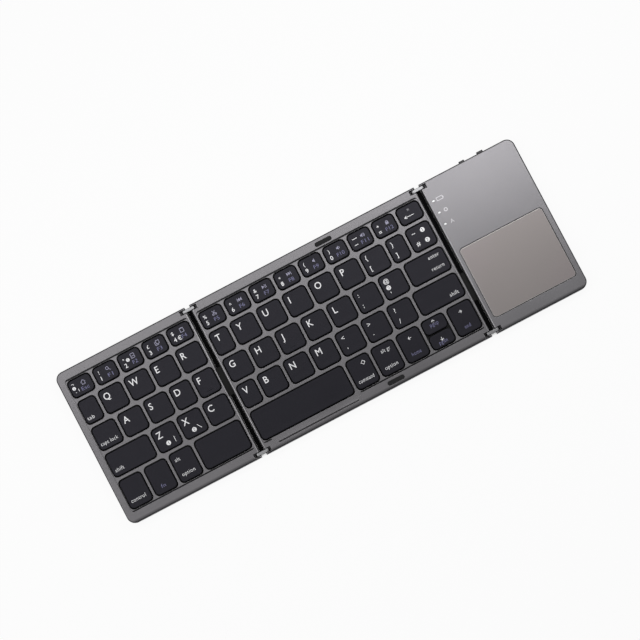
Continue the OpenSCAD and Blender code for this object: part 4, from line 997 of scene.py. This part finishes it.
lampMarks = {"x": 98.34, "rows": (36.35, 28.75, 21.15), "stroke": 0.32, "ring": 0.45, "half": 0.95,
             "battery": (-2.1, 1.7), "pole": (2.05, 0.35), "capital": 3.4, "bold": 0.03}
top = nodeBox("touch_top_cover")[1].z
bm = bmesh.new()
x, y = lampMarks["x"], lampMarks["rows"][0]
half = lampMarks["half"]
left, right = (x + end for end in lampMarks["battery"])
stroke(bm, [(left, y - half), (right, y - half), (right, y + half), (left, y + half), (left, y - half)],
       lampMarks["stroke"], inkLook["thick"])
away, reach = lampMarks["pole"]
stroke(bm, [(x + away, y - reach), (x + away, y + reach)], lampMarks["stroke"], inkLook["thick"])
stroke(bm, arc(x - 0.1, lampMarks["rows"][1], half, 0, 360, 20), lampMarks["ring"], inkLook["thick"])
capital = textShape("A", lampMarks["capital"], lampMarks["bold"], inkLook["thick"])
lo, hi = boxOf(capital.verts)
bmesh.ops.translate(capital, verts=capital.verts,
                    vec=(x + 0.1 - (lo.x + hi.x) / 2, lampMarks["rows"][2] - (lo.y + hi.y) / 2, 0))
pour(capital, bm)
bmesh.ops.translate(bm, verts=bm.verts, vec=(0, 0, top))
newPiece("lamp_marks", bm, "touch_panel", ["paleInk"])
print("lamp marks made")


# Floor, light and camera

studio = {"floorSize": 14.0, "floorBelow": 0.05, "floorWhite": 0.97, "floorGlow": 0.93,
          "sky": ((0.0, 0.17), (0.45, 0.25), (0.9, 0.42)),  # heights and levels
          "boxHeight": 0.4, "boxSize": (0.2, 0.12)}
# painted shade: the floor's glow and its white come up between these open shares of what it sees
gapShade = {"reach": 0.012, "samples": 8, "glow": (0.2, 0.42), "white": (0.06, 0.25), "dark": 0.02}
floorMesh = bpy.data.meshes.new("floor")
bm = bmesh.new()
bmesh.ops.create_grid(bm, x_segments=1, y_segments=1, size=studio["floorSize"] / 2)
bmesh.ops.translate(bm, verts=bm.verts, vec=(0, 0, -studio["floorBelow"] * mm))
bm.to_mesh(floorMesh)
bm.free()
floor = bpy.data.objects.new("floor", floorMesh)
bpy.context.collection.objects.link(floor)
white = bpy.data.materials.new("floorWhite")
white.use_nodes = True
tree = white.node_tree
tree.nodes.clear()
matte = addNode(tree, "ShaderNodeBsdfDiffuse")
bright = addNode(tree, "ShaderNodeEmission")
seen = addNode(tree, "ShaderNodeLightPath")
seenWay = mathNode(tree, "MAXIMUM", seen.outputs["Is Camera Ray"], seen.outputs["Is Glossy Ray"])
seenWay = mathNode(tree, "MAXIMUM", seenWay, seen.outputs["Is Transmission Ray"])
share = mathNode(tree, "MULTIPLY", seenWay, studio["floorGlow"])
# painted shade: both die out where the floor sees nothing but the keyboard, as in the hinge gaps
closeness = addNode(tree, "ShaderNodeAmbientOcclusion", samples=gapShade["samples"])
closeness.inputs["Distance"].default_value = gapShade["reach"]
openness = rangeNode(tree, closeness.outputs["AO"], 0.0, 1.0, *gapShade["glow"])
level = rangeNode(tree, closeness.outputs["AO"], gapShade["dark"], studio["floorWhite"],
                  *gapShade["white"])
tree.links.new(level, matte.inputs["Color"])
blend = addNode(tree, "ShaderNodeMixShader")
tree.links.new(mathNode(tree, "MULTIPLY", share, openness), blend.inputs[0])
tree.links.new(matte.outputs[0], blend.inputs[1])
tree.links.new(bright.outputs[0], blend.inputs[2])
output = addNode(tree, "ShaderNodeOutputMaterial")
tree.links.new(blend.outputs[0], output.inputs["Surface"])
floorMesh.materials.append(white)

world = bpy.data.worlds.new("studio")
bpy.context.scene.world = world
world.use_nodes = True
tree = world.node_tree
sky = tree.nodes["Background"]
direction = addNode(tree, "ShaderNodeTexCoord")
parts = addNode(tree, "ShaderNodeSeparateXYZ")
tree.links.new(direction.outputs["Generated"], parts.inputs[0])
levels = rampNode(tree, parts.outputs["Z"], [(place, (grey,) * 3) for place, grey in studio["sky"]])
tree.links.new(levels, sky.inputs["Color"])
sky.inputs["Strength"].default_value = 1.0


def areaLight(name, place, target, size, watts):
    data = bpy.data.lights.new(name, "AREA")
    data.shape = "RECTANGLE"
    data.size, data.size_y = size
    data.energy = watts
    lamp = bpy.data.objects.new(name, data)
    bpy.context.collection.objects.link(lamp)
    lamp.location = place
    lamp.rotation_mode = "QUATERNION"
    lamp.rotation_quaternion = (Vector(target) - Vector(place)).to_track_quat("-Z", "Y")
    lamp.visible_camera = False


# soft boxes in a row over the keyboard: place in x and y, watts
softBoxes = ((0.2, 0.12, 0.34), (0.05, 0.12, 0.18), (-0.15, 0.12, 0.165), (-0.35, 0.12, 0.09),
             (-0.35, -0.02, 0.19), (-0.12, -0.06, 0.05))
for i, (x, y, watts) in enumerate(softBoxes):
    areaLight(f"softBox{i + 1}", (x, y, studio["boxHeight"]), (x, y, 0), studio["boxSize"], watts)

view = {"azimuth": -8.477, "elevation": 85.911, "roll": -19.228, "distance": 1.6704,
        "target": (0.00224, 0.00531, 0.0074), "focal": 2838.0, "pixels": 640.0}
turn, rise, roll = (math.radians(view[key]) for key in ("azimuth", "elevation", "roll"))
forward = Vector((-math.sin(turn) * math.cos(rise), math.cos(turn) * math.cos(rise), -math.sin(rise)))
right = Vector((math.cos(turn), math.sin(turn), 0))
up = right.cross(forward)
across = math.cos(roll) * right + math.sin(roll) * up
upward = math.cos(roll) * up - math.sin(roll) * right
lens = bpy.data.cameras.new("camera")
lens.sensor_width = 36
lens.lens = view["focal"] / view["pixels"] * lens.sensor_width
lens.clip_start, lens.clip_end = 0.01, 100
camera = bpy.data.objects.new("camera", lens)
bpy.context.collection.objects.link(camera)
camera.matrix_world = Matrix((
    (across.x, upward.x, -forward.x, 0), (across.y, upward.y, -forward.y, 0),
    (across.z, upward.z, -forward.z, 0), (0, 0, 0, 1)))
camera.location = Vector(view["target"]) - forward * view["distance"]
bpy.context.scene.camera = camera
bpy.context.scene.view_settings.view_transform = "Standard"
